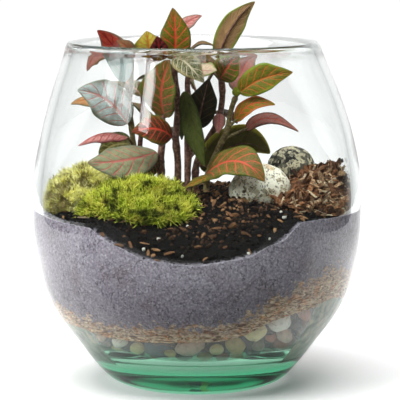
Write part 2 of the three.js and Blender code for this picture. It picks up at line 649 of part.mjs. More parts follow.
// The stems, from left to right and then behind.
const STEMS = [
  {
    root: [-33, 4], radius: 1.5,
    path: [[-33, 4, 119], [-34, 3, 131], [-35, 2, 144], [-34, 1, 157], [-34, 1, 166]],
    leaves: [
      leafAt(0.78, [-38, -3, 156], [-41.5, -6, 172], [-51, -9, 183], 14, [-0.25, -1, 0.25]),
      leafAt(0.99, [-33, -7, 168.5], [-35.5, -10, 174], [-41, -12, 178], 8, [0.2, -1, 0.4]),
      leafAt(0.95, [-41, 8, 168], [-52, 14, 168], [-58.5, 16, 160.5], 10, [-0.2, -0.8, 0.6]),
      leafAt(0.58, [-36, -2, 134], [-47, -6, 147], [-61, -9, 152], 21, [0.1, -1, 0.35]),
      leafAt(0.58, [-37, 5, 141], [-52, 10, 145], [-67, 12, 143], 12, [-0.1, -0.6, 0.8]),
      leafAt(0.46, [-36, -1, 126.5], [-48, -4, 129.5], [-61, -8, 123], 10, [0, -0.35, 1], -0.6),
      leafAt(0.38, [-35, 7, 122], [-44, 12, 121], [-52, 15, 115], 14, [0, -1, 0.4]),
    ],
  },
  {
    root: [-30, 10], radius: 1.4,
    path: [[-30, 10, 120], [-29, 9, 131], [-28, 8, 146], [-26, 6, 158], [-25, 3, 166]],
    leaves: [
      leafAt(0.98, [-25, 0, 168], [-25, -1, 175], [-26, 1, 182], 14.5, [0, -1, 0.2]),
      leafAt(0.97, [-20.5, -5, 165.5], [-19.5, -8.5, 173], [-20.5, -8, 180], 10, [0.1, -1, 0.15]),
      leafAt(0.72, [-29, 12, 147], [-38, 23, 154], [-47, 34, 151], 15, [-0.3, 0.3, 1]),
    ],
  },
  {
    root: [-18.5, -1], radius: 2.1,
    path: [[-19, -1, 113], [-18, -1, 124], [-17, -2, 134]],
    leaves: [
      leafAt(0.99, [-17, -2, 138], [-18, -8, 152.5], [-14, -9, 166.5], 24, [-0.62, -0.78, 0.1], 0.35),
      leafAt(0.6, [-21, -4, 119], [-38, -17, 116], [-55, -24, 116], 20, [0.15, -0.8, 0.6], -0.1),
      leafAt(0.52, [-20, -4, 115], [-25, -7, 111], [-29, -9, 105.5], 10, [0.4, -0.8, 0.3]),
    ],
  },
  {
    root: [-10, 2], radius: 1.9,
    path: [[-10, 2, 113], [-11, 0, 126], [-10, 0, 141], [-11, -1, 154], [-12, -2, 164]],
    leaves: [
      leafAt(0.52, [-13, -8, 127.5], [-21, -18, 133], [-33, -21.5, 131.5], 16, [0.05, -0.9, 0.45], -0.1),
      leafAt(0.99, [-12, -2, 166], [-11, -4, 179], [-12.5, 0, 194], 16, [0, -1, 0.1]),
      leafAt(0.97, [-13, 4, 177], [-5.5, 8, 185.5], [2.5, 10, 189.5], 8, [-0.3, -0.8, 0.5]),
      leafAt(0.99, [-11.5, -12, 168.2], [-4.5, -18, 165], [3.5, -21, 157], 13, [0.1, -0.8, 0.6]),
      leafAt(0.82, [-13, 3, 151], [-22, 13, 158], [-32, 20, 155], 13, [-0.3, 0.2, 1]),
    ],
  },
  {
    root: [-5, 1], radius: 1.7,
    path: [[-5, 1, 115], [-5, 2, 128], [-4, 4, 141], [-5, 4, 154], [-4, 2, 163]],
    leaves: [
      leafAt(0.78, [-6.5, -3, 151], [-2, -6, 131], [4, -7, 111], 11.5, [-0.5, -0.85, 0.1]),
      leafAt(0.75, [-6, 6, 146], [-7.5, 9, 137], [-8, 11, 124], 9, [-0.6, -0.8, 0]),
      leafAt(0.97, [-2, -1, 162], [4, -7, 161.5], [10, -12, 162], 11, [0, -0.6, 0.8]),
      leafAt(0.99, [-5, 3, 170.5], [1.5, 2.5, 175.5], [8.5, 1.5, 174.5], 8, [-0.2, -0.15, 1]),
      leafAt(0.6, [0, 4, 131], [3, 2, 144], [6, 4, 157], 15, [0.2, 1, 0.2]),
    ],
  },
  {
    root: [-1, 6], radius: 1.8,
    path: [[0, 7, 112], [5, 9, 123], [11, 9, 134], [13, 8, 144], [13, 6, 153], [11, 4, 165]],
    leaves: [
      leafAt(0.99, [11, 4, 167], [18, 4, 184], [30, 7, 197], 12.5, [0.1, 0.95, 0.2]),
      leafAt(0.85, [12, 3, 157], [16, -2, 163], [22, -4, 169], 14, [0.1, -0.9, 0.4]),
      leafAt(0.88, [8, 8, 160], [2, 11, 165], [-5, 14, 167], 12, [0, -0.7, 0.7]),
      leafAt(0.62, [11.5, 7, 138], [11.5, 5.5, 134], [11, 3, 128], 7, [-0.2, -0.8, 0.5]),
      leafAt(0.3, [3, 9, 107], [21, 13, 122], [38.5, 13, 116], 24, [-0.2, 0.8, 0.5], 0.2),
    ],
  },
  {
    root: [5, 1.5], radius: 1.6,
    path: [[7, 3, 110], [11, 3, 120], [15.5, 1, 130], [17.5, 0, 140], [20, -2, 148]],
    leaves: [
      leafAt(0.99, [22, -3, 150], [33, -6, 157.5], [49, -5, 161], 14.5, [-0.1, -0.95, 0.3]),
      leafAt(0.98, [20.5, 1, 151], [24, 8, 161], [31.5, 12, 168.5], 13, [-0.3, -0.85, 0.3]),
      leafAt(0.72, [20, -1, 135], [28, -5, 144], [40, -8, 144], 10, [-0.1, -0.7, 0.7]),
      leafAt(0.62, [26, 2, 130], [37, 4, 136], [53, 6, 129], 10, [0, -0.5, 0.85]),
      leafAt(0.995, [20, -3, 148.5], [20, -4, 151], [19.5, -4, 153.5], 4, [0, -1, 0.2]),
      leafAt(0.22, [5, -3, 107], [20, -20, 116], [34, -28, 107], 22, [0.1, -0.75, 0.65]),
      leafAt(0.26, [7, -1, 106], [2, -13, 105.5], [-7, -21, 102.5], 7, [0, -0.3, 1]),
    ],
  },
  {
    root: [-5, 22], radius: 1.6,
    path: [[-4, 24, 114], [-1, 27, 131], [1, 29, 146]],
    leaves: [
      leafAt(0.99, [3, 31, 148], [9, 37, 158], [17, 42, 160], 14, [-0.2, 0.4, 1]),
      leafAt(0.98, [-1, 31, 149], [-7, 38, 158], [-14, 44, 157], 14, [0.2, 0.4, 1]),
      leafAt(0.7, [2, 29, 133], [12, 38, 136], [22, 48, 129], 15, [0.1, 0.3, 1]),
      leafAt(0.66, [-4, 29, 126], [-9, 40, 127], [-13, 51, 119], 13, [-0.1, 0.3, 1]),
      leafAt(0.42, [-2, 27, 114], [4, 38, 116], [7, 50, 108], 14, [0, 0.4, 1]),
    ],
  },
  {
    root: [-18.5, 25], radius: 1.5,
    path: [[-19, 27, 114], [-20, 30, 130]],
    leaves: [
      leafAt(0.99, [-24, 32, 132], [-34, 37, 140], [-46, 41, 140], 14, [-0.3, 0.2, 1]),
      leafAt(0.98, [-19, 33, 133], [-18, 40, 141], [-20, 48, 144], 13, [0, -0.2, 1]),
      leafAt(0.55, [-23, 29, 114], [-35, 34, 116], [-49, 37, 109], 15, [-0.2, 0.2, 1]),
    ],
  },
];

// The whole terrarium

const terrarium = new THREE.Group();
terrarium.add(
  piece('glass_bowl', glassBowl(), COLOURS.glass),
  piece('gravel_layer', gravelLayer(), COLOURS.gravel),
  piece('fibre_layer', fibreLayer(), COLOURS.fibre),
  piece('potting_soil', pottingSoil(STEMS), COLOURS.soil),
  piece('bark_mulch', barkMulch(), COLOURS.bark),
  piece('moss_cushion_left', mossCushion(MOSS_LEFT, MOSS_FRONT, LEFT_TUFTS), COLOURS.paleMoss),
  piece('moss_cushion_front', mossCushion(MOSS_FRONT, MOSS_LEFT, FRONT_TUFTS), COLOURS.greenMoss),
  piece('stone_back', solid(pebble(STONE_BACK)), COLOURS.greyStone),
  piece('stone_front', solid(pebble(STONE_FRONT)), COLOURS.creamStone),
);
STEMS.forEach((stem, i) => terrarium.add(piece(`fittonia_stem_${i + 1}`, leafyStem(stem), COLOURS.plant)));

export default terrarium;
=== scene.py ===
# %% [markdown]
# # A glass plant terrarium
#
# The object is a round, open bowl of thick recycled glass. It holds a drainage layer of pebbles, a thin
# mat of coir fibre, dark potting soil, two moss cushions, a heap of shredded bark, two granite stones and
# nine leafy stems of a nerve plant (Fittonia). The model of the bowl and its contents at their real size
# is loaded first, as a fixed frame. Each step after that makes one piece finer, in the same place.

import math
import random

import bpy
import numpy as np
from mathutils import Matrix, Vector, noise


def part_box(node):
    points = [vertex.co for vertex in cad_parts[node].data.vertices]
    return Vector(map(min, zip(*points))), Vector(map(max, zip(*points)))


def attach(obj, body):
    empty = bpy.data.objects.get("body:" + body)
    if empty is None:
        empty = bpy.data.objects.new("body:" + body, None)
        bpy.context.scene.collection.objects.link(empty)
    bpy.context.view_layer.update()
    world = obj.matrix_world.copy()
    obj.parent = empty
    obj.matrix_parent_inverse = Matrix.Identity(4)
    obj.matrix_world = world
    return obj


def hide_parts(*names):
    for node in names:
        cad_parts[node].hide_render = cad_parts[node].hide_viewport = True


MM = 0.001
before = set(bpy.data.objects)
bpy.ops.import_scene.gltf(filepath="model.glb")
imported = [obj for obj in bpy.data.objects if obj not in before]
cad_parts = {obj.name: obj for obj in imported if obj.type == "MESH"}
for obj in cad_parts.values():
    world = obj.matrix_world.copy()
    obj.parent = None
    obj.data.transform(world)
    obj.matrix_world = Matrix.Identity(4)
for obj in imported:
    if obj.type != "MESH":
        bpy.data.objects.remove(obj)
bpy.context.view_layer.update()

# %% [markdown]
# ## The camera
#
# The photograph looks slightly down on the bowl from far away with a long lens, so the bowl's sides stay
# nearly parallel. The ellipses of the rim and the foot gave the distance and the height of the camera.

# %% Camera
CAMERA_PLACE = (1.56 * MM, -1150 * MM, 244 * MM)
CAMERA_PITCH = 7.41  # degrees down
LENS = 200.7
SENSOR = 36


def make_camera():
    camera = bpy.data.objects.new("camera", bpy.data.cameras.new("camera"))
    camera.location = CAMERA_PLACE
    camera.rotation_euler = (math.radians(90 - CAMERA_PITCH), 0, 0)
    camera.data.lens = LENS
    camera.data.sensor_width = SENSOR
    camera.data.clip_start = 0.05
    camera.data.clip_end = 50
    bpy.context.scene.collection.objects.link(camera)
    bpy.context.scene.camera = camera
    return camera


print("camera:", make_camera().location)

# %% [markdown]
# ## Colours and materials
#
# A material is a small program. Its sums read best as Python expressions, so a class wraps a socket and
# turns each operator into a Math node. Every other node comes from one method, which takes the node's
# type, its settings and what its sockets get. Patterns are laid out in millimetres on the object itself.


# %% A wrapped socket and a material that grows node by node
def paint(red, green, blue):
    """A linear colour from the 0 to 255 values that a paint chart or a screen shows."""
    shares = [value / 255 for value in (red, green, blue)]
    return tuple(s / 12.92 if s <= 0.04045 else ((s + 0.055) / 1.055) ** 2.4 for s in shares) + (1.0,)


class Wire:
    """A number that flows through a material. Python's operators on it add Math nodes."""

    def __init__(self, finish, socket):
        self.finish = finish
        self.socket = socket

    def maths(self, operation, *values):
        return self.finish.node("ShaderNodeMath", {"operation": operation}, dict(enumerate(values)))

    def __add__(self, other):
        return self.maths("ADD", self, other)

    def __sub__(self, other):
        return self.maths("SUBTRACT", self, other)

    def __rsub__(self, other):
        return self.maths("SUBTRACT", other, self)

    def __mul__(self, other):
        return self.maths("MULTIPLY", self, other)

    def __truediv__(self, other):
        return self.maths("DIVIDE", self, other)

    def __pow__(self, other):
        return self.maths("POWER", self, other)

    def __gt__(self, other):
        return self.maths("GREATER_THAN", self, other)

    def __lt__(self, other):
        return self.maths("LESS_THAN", self, other)

    def __abs__(self):
        return self.maths("ABSOLUTE", self)

    __radd__ = __add__
    __rmul__ = __mul__

    def fraction(self):
        return self.maths("FRACT", self)

    def larger(self, other):
        return self.maths("MAXIMUM", self, other)

    def fade(self, low, high, start=0.0, end=1.0):
        """A soft step: start below low, end above high."""
        settings = {"interpolation_type": "SMOOTHSTEP"}
        return self.finish.node("ShaderNodeMapRange", settings, {0: self, 1: low, 2: high, 3: start, 4: end})


class Finish:
    """A material under construction. The surround, a world, is made in the same way."""

    def __init__(self, name, library="materials"):
        self.holder = getattr(bpy.data, library).new(name)
        self.holder.use_nodes = True
        self.tree = self.holder.node_tree
        self.tree.nodes.clear()

    def node(self, kind, settings=None, sockets=None, give=0):
        """Adds a node, with its settings and what its sockets get, and returns one output."""
        made = self.tree.nodes.new(kind)
        for name, value in (settings or {}).items():
            if name == "stops":
                self.set_stops(made.color_ramp, value)
            else:
                setattr(made, name, value)
        for key, value in (sockets or {}).items():
            if isinstance(value, Wire):
                self.tree.links.new(value.socket, made.inputs[key])
            else:
                made.inputs[key].default_value = value
        return Wire(self, made.outputs[give]) if made.outputs else None

    @staticmethod
    def set_stops(ramp, stops):
        while len(ramp.elements) < len(stops):
            ramp.elements.new(0.5)
        for element, (position, colour) in zip(ramp.elements, stops):
            element.position = position
            element.color = colour

    def axis(self, vector, index):
        """One coordinate of a vector."""
        return self.node("ShaderNodeSeparateXYZ", None, {0: vector}, give=index)

    def place(self):
        """The point on the surface, in millimetres."""
        spot = self.node("ShaderNodeTexCoord", give=3)
        return self.node("ShaderNodeVectorMath", {"operation": "SCALE"}, {0: spot, "Scale": 1 / MM})

    def grain(self, size, detail=3.0, roughness=0.55, distortion=0.0, spot=None):
        """Soft noise whose blotches are about size millimetres wide."""
        sockets = {"Vector": spot or self.place(), "Scale": 1 / size, "Detail": detail}
        sockets.update({"Roughness": roughness, "Distortion": distortion})
        return self.node("ShaderNodeTexNoise", None, sockets)

    def cells(self, size, give=0):
        """How far each point is from the middle of its cell. The cells are about size millimetres wide."""
        return self.node("ShaderNodeTexVoronoi", None, {"Vector": self.place(), "Scale": 1 / size}, give)

    def chance(self, size):
        """A number at random for each of those cells."""
        return self.node("ShaderNodeSeparateColor", None, {0: self.cells(size, give=1)})

    def ramp(self, factor, *stops, step=False):
        made = self.node("ShaderNodeValToRGB", {"stops": stops}, {0: factor})
        made.socket.node.color_ramp.interpolation = "CONSTANT" if step else "LINEAR"
        return made

    def mix(self, factor, first, second, blend="MIX"):
        settings = {"data_type": "RGBA", "blend_type": blend}
        return self.node("ShaderNodeMix", settings, {0: factor, 6: first, 7: second}, give=2)

    def tinted(self, colour, tint):
        return self.mix(1.0, colour, tint, "MULTIPLY")

    def value(self, name, give=2):
        """A number stored on the mesh, or its colour with give=0."""
        return self.node("ShaderNodeAttribute", {"attribute_name": name}, give=give)

    def bump(self, height, depth, strength=1.0):
        """A relief whose full height is depth millimetres."""
        sockets = {"Strength": strength, "Distance": depth * MM, "Height": height}
        return self.node("ShaderNodeBump", None, sockets)

    def show(self, shader, volume=None):
        sockets = {"Surface": shader}
        if volume:
            sockets["Volume"] = volume
        self.node("ShaderNodeOutputMaterial", None, sockets)
        return self.holder

    def skin(self, **sockets):
        """A Principled surface. Its keywords are socket names with underscores for spaces."""
        named = {name.replace("_", " "): value for name, value in sockets.items()}
        return self.node("ShaderNodeBsdfPrincipled", None, named)


DULL = 0.12  # the specular level of what is dry, fibrous or crumbly
print("pale moss as a linear colour:", [round(x, 3) for x in paint(170, 167, 79)])

# %% [markdown]
# ## Small tools for meshes
#
# An operator acts on all that is selected, so a step starts by selecting one piece only. The layers in the
# bowl begin as copies of the frame's solids: the loose triangles of a copy are merged, and a voxel remesh
# gives them a fine, even net of faces that can take lumps.


# %% Selecting, copying and finishing
def select_only(piece):
    bpy.ops.object.select_all(action="DESELECT")
    piece.select_set(True)
    bpy.context.view_layer.objects.active = piece


def new_from(operator, name, **settings):
    """Adds a primitive with nothing else selected, and names it."""
    bpy.ops.object.select_all(action="DESELECT")
    operator(**settings)
    piece = bpy.context.object
    piece.name = name
    return piece


def edit(piece, *steps):
    """Runs edit mode operators on the whole mesh of a piece."""
    select_only(piece)
    bpy.ops.object.mode_set(mode="EDIT")
    bpy.ops.mesh.select_all(action="SELECT")
    for operator, settings in steps:
        operator(**settings)
    bpy.ops.object.mode_set(mode="OBJECT")


def modify(piece, kind, **settings):
    """Adds a modifier and applies it."""
    select_only(piece)
    modifier = piece.modifiers.new(kind.title(), kind)
    for name, value in settings.items():
        setattr(modifier, name, value)
    bpy.ops.object.modifier_apply(modifier=modifier.name)


def smooth(piece):
    select_only(piece)
    bpy.ops.object.shade_smooth()


def copy_of_node(node, name):
    """A merged copy of one of the frame's solids, as a new piece."""
    piece = bpy.data.objects.new(name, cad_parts[node].data.copy())
    bpy.context.scene.collection.objects.link(piece)
    piece.data.materials.clear()
    edit(piece, (bpy.ops.mesh.remove_doubles, {"threshold": 0.02 * MM}))
    return piece


def joined(name, *pieces):
    """Several pieces as one."""
    select_only(pieces[0])
    for piece in pieces[1:]:
        piece.select_set(True)
    bpy.ops.object.join()
    pieces[0].name = name
    return pieces[0]


def points_of(piece):
    """The points of a piece, in millimetres."""
    flat = np.empty(len(piece.data.vertices) * 3)
    piece.data.vertices.foreach_get("co", flat)
    return flat.reshape(-1, 3) / MM


def put_points(piece, points):
    piece.data.vertices.foreach_set("co", (points * MM).ravel())
    piece.data.update()


def normals_of(piece):
    flat = np.empty(len(piece.data.vertices) * 3)
    piece.data.vertices.foreach_get("normal", flat)
    return flat.reshape(-1, 3)


def store(piece, name, values):
    """Keeps one number for each point of a piece, for its material."""
    layer = piece.data.attributes.new(name, "FLOAT", "POINT")
    layer.data.foreach_set("value", np.asarray(values, dtype=np.float32))


def waves(points, size, seed=0.0):
    """Soft noise from -1 to 1 at each point, with blotches about size millimetres wide."""
    return np.array([noise.noise(Vector(point / size) + Vector((seed, seed, seed))) for point in points])


def mesh_of(name, points, faces):
    """A new piece from points in millimetres and faces."""
    mesh = bpy.data.meshes.new(name)
    mesh.from_pydata((points * MM).tolist(), [], faces.tolist())
    piece = bpy.data.objects.new(name, mesh)
    bpy.context.scene.collection.objects.link(piece)
    return piece


def settle(piece, node, slot, *finishes):
    """Gives a finished piece its materials and its body, and hides the solid that it stands for. The slot is
    not used.
    """
    for finish in finishes:
        piece.data.materials.append(finish)
    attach(piece, "root")
    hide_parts(node)
    print(piece.name, "faces:", len(piece.data.polygons))
    return piece


# %% [markdown]
# ## The line of the bowl
#
# A blown bowl has one flowing line from its foot over the rim and down to its floor. A few points are
# measured and a Catmull-Rom curve runs smoothly through them. The same curve serves the stems later.

# %% A smooth line, and the bowl's profile
FOOT_RADIUS = 40
BOWL_OUTER = [
    (46.2, 3.2), (54.4, 11.9), (63, 23.2), (71.2, 33.8), (77.9, 45.5), (82.7, 62), (85.2, 85),
    (84.7, 109), (80.9, 128.5), (75.2, 148), (66.6, 171.5),
]  # (radius, height) up the outside
RIM_BEAD = [(65.7, 174.8), (64, 177), (62, 175.4)]
BOWL_INNER = [
    (62.3, 171.5), (70.2, 149.5), (76.4, 127.8), (79.8, 107), (80.2, 86), (77.8, 62), (72.6, 45.6),
    (64.8, 33.2), (57.4, 24.5), (50, 18.8), (38, 16.4),
]  # (radius, height) down the inside
FLOOR_HEIGHT = 15.8
LARGEST_RADIUS = 85.2
NECK_HEIGHT = 128  # above it the hand-blown neck leans to the left
NECK_LEAN = 2.1  # how far off the axis the rim lies
NECK_CURVE = 1.3  # how late the neck starts to lean
PROFILE_STEPS = 8
GAP = 0.4  # between the glass and what it holds
CONTACT = 0.08  # how far damp soil and fibre touch into the glass, so that no film of air shows


def smooth_line(points, steps):
    """A centripetal Catmull-Rom curve through points of any dimension."""
    given = np.array(points, dtype=float)
    knots = np.vstack([2 * given[0] - given[1], given, 2 * given[-1] - given[-2]])
    times = np.concatenate([[0], np.cumsum(np.linalg.norm(np.diff(knots, axis=0), axis=1) ** 0.5)])
    line = []
    for i in range(1, len(knots) - 2):
        t0, t1, t2, t3 = times[i - 1 : i + 3]
        p0, p1, p2, p3 = knots[i - 1 : i + 3]
        for t in np.linspace(t1, t2, steps, endpoint=False):
            a1 = (t1 - t) / (t1 - t0) * p0 + (t - t0) / (t1 - t0) * p1
            a2 = (t2 - t) / (t2 - t1) * p1 + (t - t1) / (t2 - t1) * p2
            a3 = (t3 - t) / (t3 - t2) * p2 + (t - t2) / (t3 - t2) * p3
            b1 = (t2 - t) / (t2 - t0) * a1 + (t - t0) / (t2 - t0) * a2
            b2 = (t3 - t) / (t3 - t1) * a2 + (t - t1) / (t3 - t1) * a3
            line.append((t2 - t) / (t2 - t1) * b1 + (t - t1) / (t2 - t1) * b2)
    line.append(given[-1])
    return np.array(line)


INNER_LINE = smooth_line([*BOWL_INNER, (0, FLOOR_HEIGHT)], PROFILE_STEPS)[::-1]


def inner_radius(height):
    """The radius of the inside of the glass at a height, in millimetres."""
    return np.interp(height, INNER_LINE[:, 1], INNER_LINE[:, 0])


print("inner radius at mid height:", round(float(inner_radius(90)), 1))

# %% [markdown]
# ## The stage and the light
#
# The photograph is a studio shot on pure white: a pale floor, a white sheet behind the bowl that ends soon to
# either side, a dark room in front, and light from above. Three tall softboxes at the front left run down
# the glass as pale strips with a dark gap between them, and a wide one overhead lights the plants.

# %% Floor, surround and softboxes
FLOOR_WIDTH = 1.1
FLOOR_FRONT = -0.3
FLOOR_BACK = 1.6
# The floor's emission is painted light: a glow under the foot, where light through the glass would gather, a
# dim ring round the foot where the real shadow shows, and a bright table further off for the glass to mirror.
# It also grows from the front to the back.
PAINTED_FLOOR_GLOW = 2.0  # the lit table's brightness where it is brightest
PAINTED_FLOOR_RINGS = [
    (0, 0.4), (0.042, 0.4), (0.05, 0.12), (0.12, 0.2), (0.3, 0.5), (0.5, 0.16),
]  # (metres from the axis, share of the glow)
FLOOR_REACH = PAINTED_FLOOR_RINGS[-1][0]
FLOOR_WHITE = paint(244, 244, 244)
# painted shade: in front of the bowl the table is painted dark, for the unlit front of the room, which the
# glass mirrors too
TABLE_DARK = (-0.1, -0.056)  # in front of the bowl the table turns dark, and so does what the glass mirrors
TABLE_LIT = (-0.08, 0.16)  # from the front to the back it gets its own light
TABLE_DIM = 0.25  # the share of that light in front
FRONT_PAINTED_SHADE = paint(40, 40, 42)
SHEET_GLOW = 1.03
SHEET_EDGE = (0.62, 0.9)  # where the sheet behind ends and where it is full, as the cosine to +Y
CEILING_GLOW = 1.8
CEILING_EDGE = (0.75, 0.92)  # the same for the ceiling, as the cosine to +Z
ROOM_GLOW = 0.04
LAMP_AIM = Vector((0, 0, 0.12))  # the middle of the bowl and its plants
SOFTBOX_DISTANCE = 1.6
SOFTBOX_LOW = 23  # degrees above the horizon
SOFTBOX_HIGH = 60
SOFTBOXES = [(36, 45.5, 8.0), (52, 67, 5.5), (67.5, 84, 5.0)]  # degrees left of the camera, from and to; glow
OVERHEAD = {"turn": 20, "rise": 66, "wide": 1.3, "deep": 0.6, "glow": 7.0}


def make_floor():
    floor = new_from(bpy.ops.mesh.primitive_plane_add, "floor", size=1)
    points = points_of(floor)
    points[:, 0] *= FLOOR_WIDTH
    points[:, 1] = np.where(points[:, 1] < 0, FLOOR_FRONT / MM, FLOOR_BACK / MM)
    put_points(floor, points)
    pale = Finish("pale_floor")
    spot = pale.node("ShaderNodeTexCoord", give=3)
    away = pale.node("ShaderNodeVectorMath", {"operation": "LENGTH"}, {0: spot}, give=1)
    rings = [(far / FLOOR_REACH, (share, share, share, 1)) for far, share in PAINTED_FLOOR_RINGS]
    lit = pale.ramp(away / FLOOR_REACH, *rings)
    ahead = pale.axis(spot, 1)
    # painted shade on the table in front of the bowl
    front_shade = pale.mix(ahead.fade(*TABLE_DARK), FRONT_PAINTED_SHADE, FLOOR_WHITE)
    # painted light: the floor's emission, by rings round the axis and from the front to the back
    glow = pale.mix(ahead.fade(*TABLE_LIT, start=TABLE_DIM), paint(0, 0, 0), lit)
    skin = pale.skin(Base_Color=front_shade, Roughness=0.6, Emission_Color=glow, Emission_Strength=PAINTED_FLOOR_GLOW)
    floor.data.materials.append(pale.show(skin))


def make_surround():
    """The white sheet and the bright ceiling, which fade into the dark room."""
    surround = Finish("surround", "worlds")
    direction = surround.node("ShaderNodeTexCoord")
    glows = []
    for axis, edge, glow in ((1, SHEET_EDGE, SHEET_GLOW), (2, CEILING_EDGE, CEILING_GLOW)):
        levels = enumerate((surround.axis(direction, axis), *edge, ROOM_GLOW, glow))
        glows.append(surround.node("ShaderNodeMapRange", None, dict(levels)))
    sockets = {"Color": (1, 1, 1, 1), "Strength": glows[0].larger(glows[1])}
    light = surround.node("ShaderNodeBackground", None, sockets)
    surround.node("ShaderNodeOutputWorld", None, {"Surface": light})
    bpy.context.scene.world = surround.holder


def hang_lamp(name, turn, rise, wide, deep, glow):
    """A rectangular lamp that looks at the bowl; turn is its angle left of the camera, rise above it."""
    turn, rise = math.radians(turn), math.radians(rise)
    ahead = Vector((-math.sin(turn) * math.cos(rise), -math.cos(turn) * math.cos(rise), math.sin(rise)))
    box = bpy.data.lights.new(name, "AREA")
    box.shape = "RECTANGLE"
    box.size = wide
    box.size_y = deep
    box.energy = glow * math.pi * wide * deep
    lamp = bpy.data.objects.new(name, box)
    lamp.location = LAMP_AIM + SOFTBOX_DISTANCE * ahead
    lamp.rotation_euler = ahead.to_track_quat("Z", "Y").to_euler()
    bpy.context.scene.collection.objects.link(lamp)


def make_softboxes():
    rise = (SOFTBOX_LOW + SOFTBOX_HIGH) / 2
    tall = 2 * SOFTBOX_DISTANCE * math.tan(math.radians(SOFTBOX_HIGH - SOFTBOX_LOW) / 2)
    for number, (start, end, glow) in enumerate(SOFTBOXES, 1):
        across = math.tan(math.radians(end - start) / 2) * math.cos(math.radians(rise))
        hang_lamp(f"softbox_{number}", (start + end) / 2, rise, 2 * SOFTBOX_DISTANCE * across, tall, glow)
    hang_lamp("overhead", **OVERHEAD)


make_floor()
make_surround()
make_softboxes()
bpy.context.scene.view_settings.view_transform = "Standard"
print("softboxes:", len(SOFTBOXES))

# %% [markdown]
# ## The glass
#
# The bowl is drawn as a wire in one half plane and spun round its axis, as a lathe or a glass blower's pipe
# turns it. Recycled glass is nearly clear where the wall is thin, and emerald where the light runs through
# the thick foot, so the body of the glass absorbs red most. Shadow rays pass straight through the
# wall, because light that a lens bends is slow to find for a path tracer.

# %% Spin the bowl
SEGMENTS = 240


def make_bowl():
    marks = [(FOOT_RADIUS, 0), *BOWL_OUTER, *RIM_BEAD, *BOWL_INNER, (0, FLOOR_HEIGHT)]
    rise = smooth_line(marks, PROFILE_STEPS)
    rise[:, 0] = np.clip(rise[:, 0], 0, LARGEST_RADIUS)
    rise[:, 1] = np.maximum(rise[:, 1], 0)
    wire = [(radius * MM, 0, height * MM) for radius, height in [(0, 0), (FOOT_RADIUS / 2, 0), *rise]]
    mesh = bpy.data.meshes.new("bowl_wire")
    mesh.from_pydata(wire, [(i, i + 1) for i in range(len(wire) - 1)], [])
    bowl = bpy.data.objects.new("bowl_wall", mesh)
    bpy.context.scene.collection.objects.link(bowl)
    turn = {"steps": SEGMENTS, "angle": 2 * math.pi, "center": (0, 0, 0), "axis": (0, 0, 1)}
    edit(
        bowl,
        (bpy.ops.mesh.spin, turn),
        (bpy.ops.mesh.select_all, {"action": "SELECT"}),
        (bpy.ops.mesh.remove_doubles, {"threshold": 0.01 * MM}),
        (bpy.ops.mesh.normals_make_consistent, {"inside": False}),
    )
    points = points_of(bowl)
    above = np.maximum(points[:, 2] - NECK_HEIGHT, 0) / (RIM_BEAD[1][1] - NECK_HEIGHT)
    points[:, 0] -= NECK_LEAN * above**NECK_CURVE
    put_points(bowl, points)
    smooth(bowl)
    return bowl


# %% The glass itself
GLASS_COLOUR = (0.2, 0.85, 0.6, 1)  # what is left of the light after a long way
GLASS_DENSITY = 5  # per metre
TINT_HEIGHTS = (12, 36)  # the surface is tinted below the first height and clear above the second
EMERALD = paint(30, 128, 86)
# The foot's colour carries a painted highlight along its edge and a painted dark line of shade above it.
FOOT_HIGHLIGHT = paint(52, 158, 112)  # the foot's edge is brighter, and a dark line runs above it
FOOT_SHADE_LINE = paint(6, 34, 22)
FOOT_LIT = (5.5, 7.5)  # these are heights in millimetres
LINE_FROM = (6.4, 7.4)
LINE_TO = (8.8, 9.8)
LINE_SHARE = 0.8
FOOT_WAVE = 2.5  # how much the foot's line and edge go up and down
CLEAR = paint(255, 255, 255)
SHADOW_TINT = (0.93, 0.96, 0.95, 1)
RIPPLE_SIZE = 22
RIPPLE_DEPTH = 0.03
RIM_RISE = (168, 173)  # the rim's far side is thinner and shows less
RIM_BACK = (-30, 30)
RIM_NEAR = 0.22  # how much of the open air shows through the near and the far side
RIM_FAR = 0.6


def glass_finish():
    glass = Finish("recycled_glass")
    spot = glass.place()
    height = glass.axis(spot, 2)
    wavy = height + (glass.grain(9, 2.0) - 0.5) * FOOT_WAVE
    # painted highlight at the foot's edge, and a painted dark line of shade above it
    foot = glass.mix(wavy.fade(*FOOT_LIT), FOOT_HIGHLIGHT, EMERALD)
    line = wavy.fade(*LINE_FROM) * wavy.fade(*LINE_TO, 1, 0)
    foot = glass.mix(line * LINE_SHARE, foot, FOOT_SHADE_LINE)
    colour = glass.mix(height.fade(*TINT_HEIGHTS), foot, CLEAR)
    ripple = glass.bump(glass.grain(RIPPLE_SIZE, 1.0), RIPPLE_DEPTH, 0.4)
    wall = glass.skin(Base_Color=colour, Roughness=0.0, IOR=1.5, Transmission_Weight=1.0, Normal=ripple)
    veil = glass.node("ShaderNodeBsdfTransparent", None, {0: SHADOW_TINT})
    is_shadow = glass.node("ShaderNodeLightPath", give=1)
    thin = height.fade(*RIM_RISE) * glass.axis(spot, 1).fade(*RIM_BACK, RIM_NEAR, RIM_FAR)
    open_air = glass.node("ShaderNodeBsdfTransparent", None, {0: CLEAR})
    thinned = glass.node("ShaderNodeMixShader", None, {0: thin, 1: wall, 2: open_air})
    both = glass.node("ShaderNodeMixShader", None, {0: is_shadow, 1: thinned, 2: veil})
    depth = {"Color": GLASS_COLOUR, "Density": GLASS_DENSITY}
    return glass.show(both, glass.node("ShaderNodeVolumeAbsorption", None, depth))


settle(make_bowl(), "glass_bowl", "recycled_glass", glass_finish())

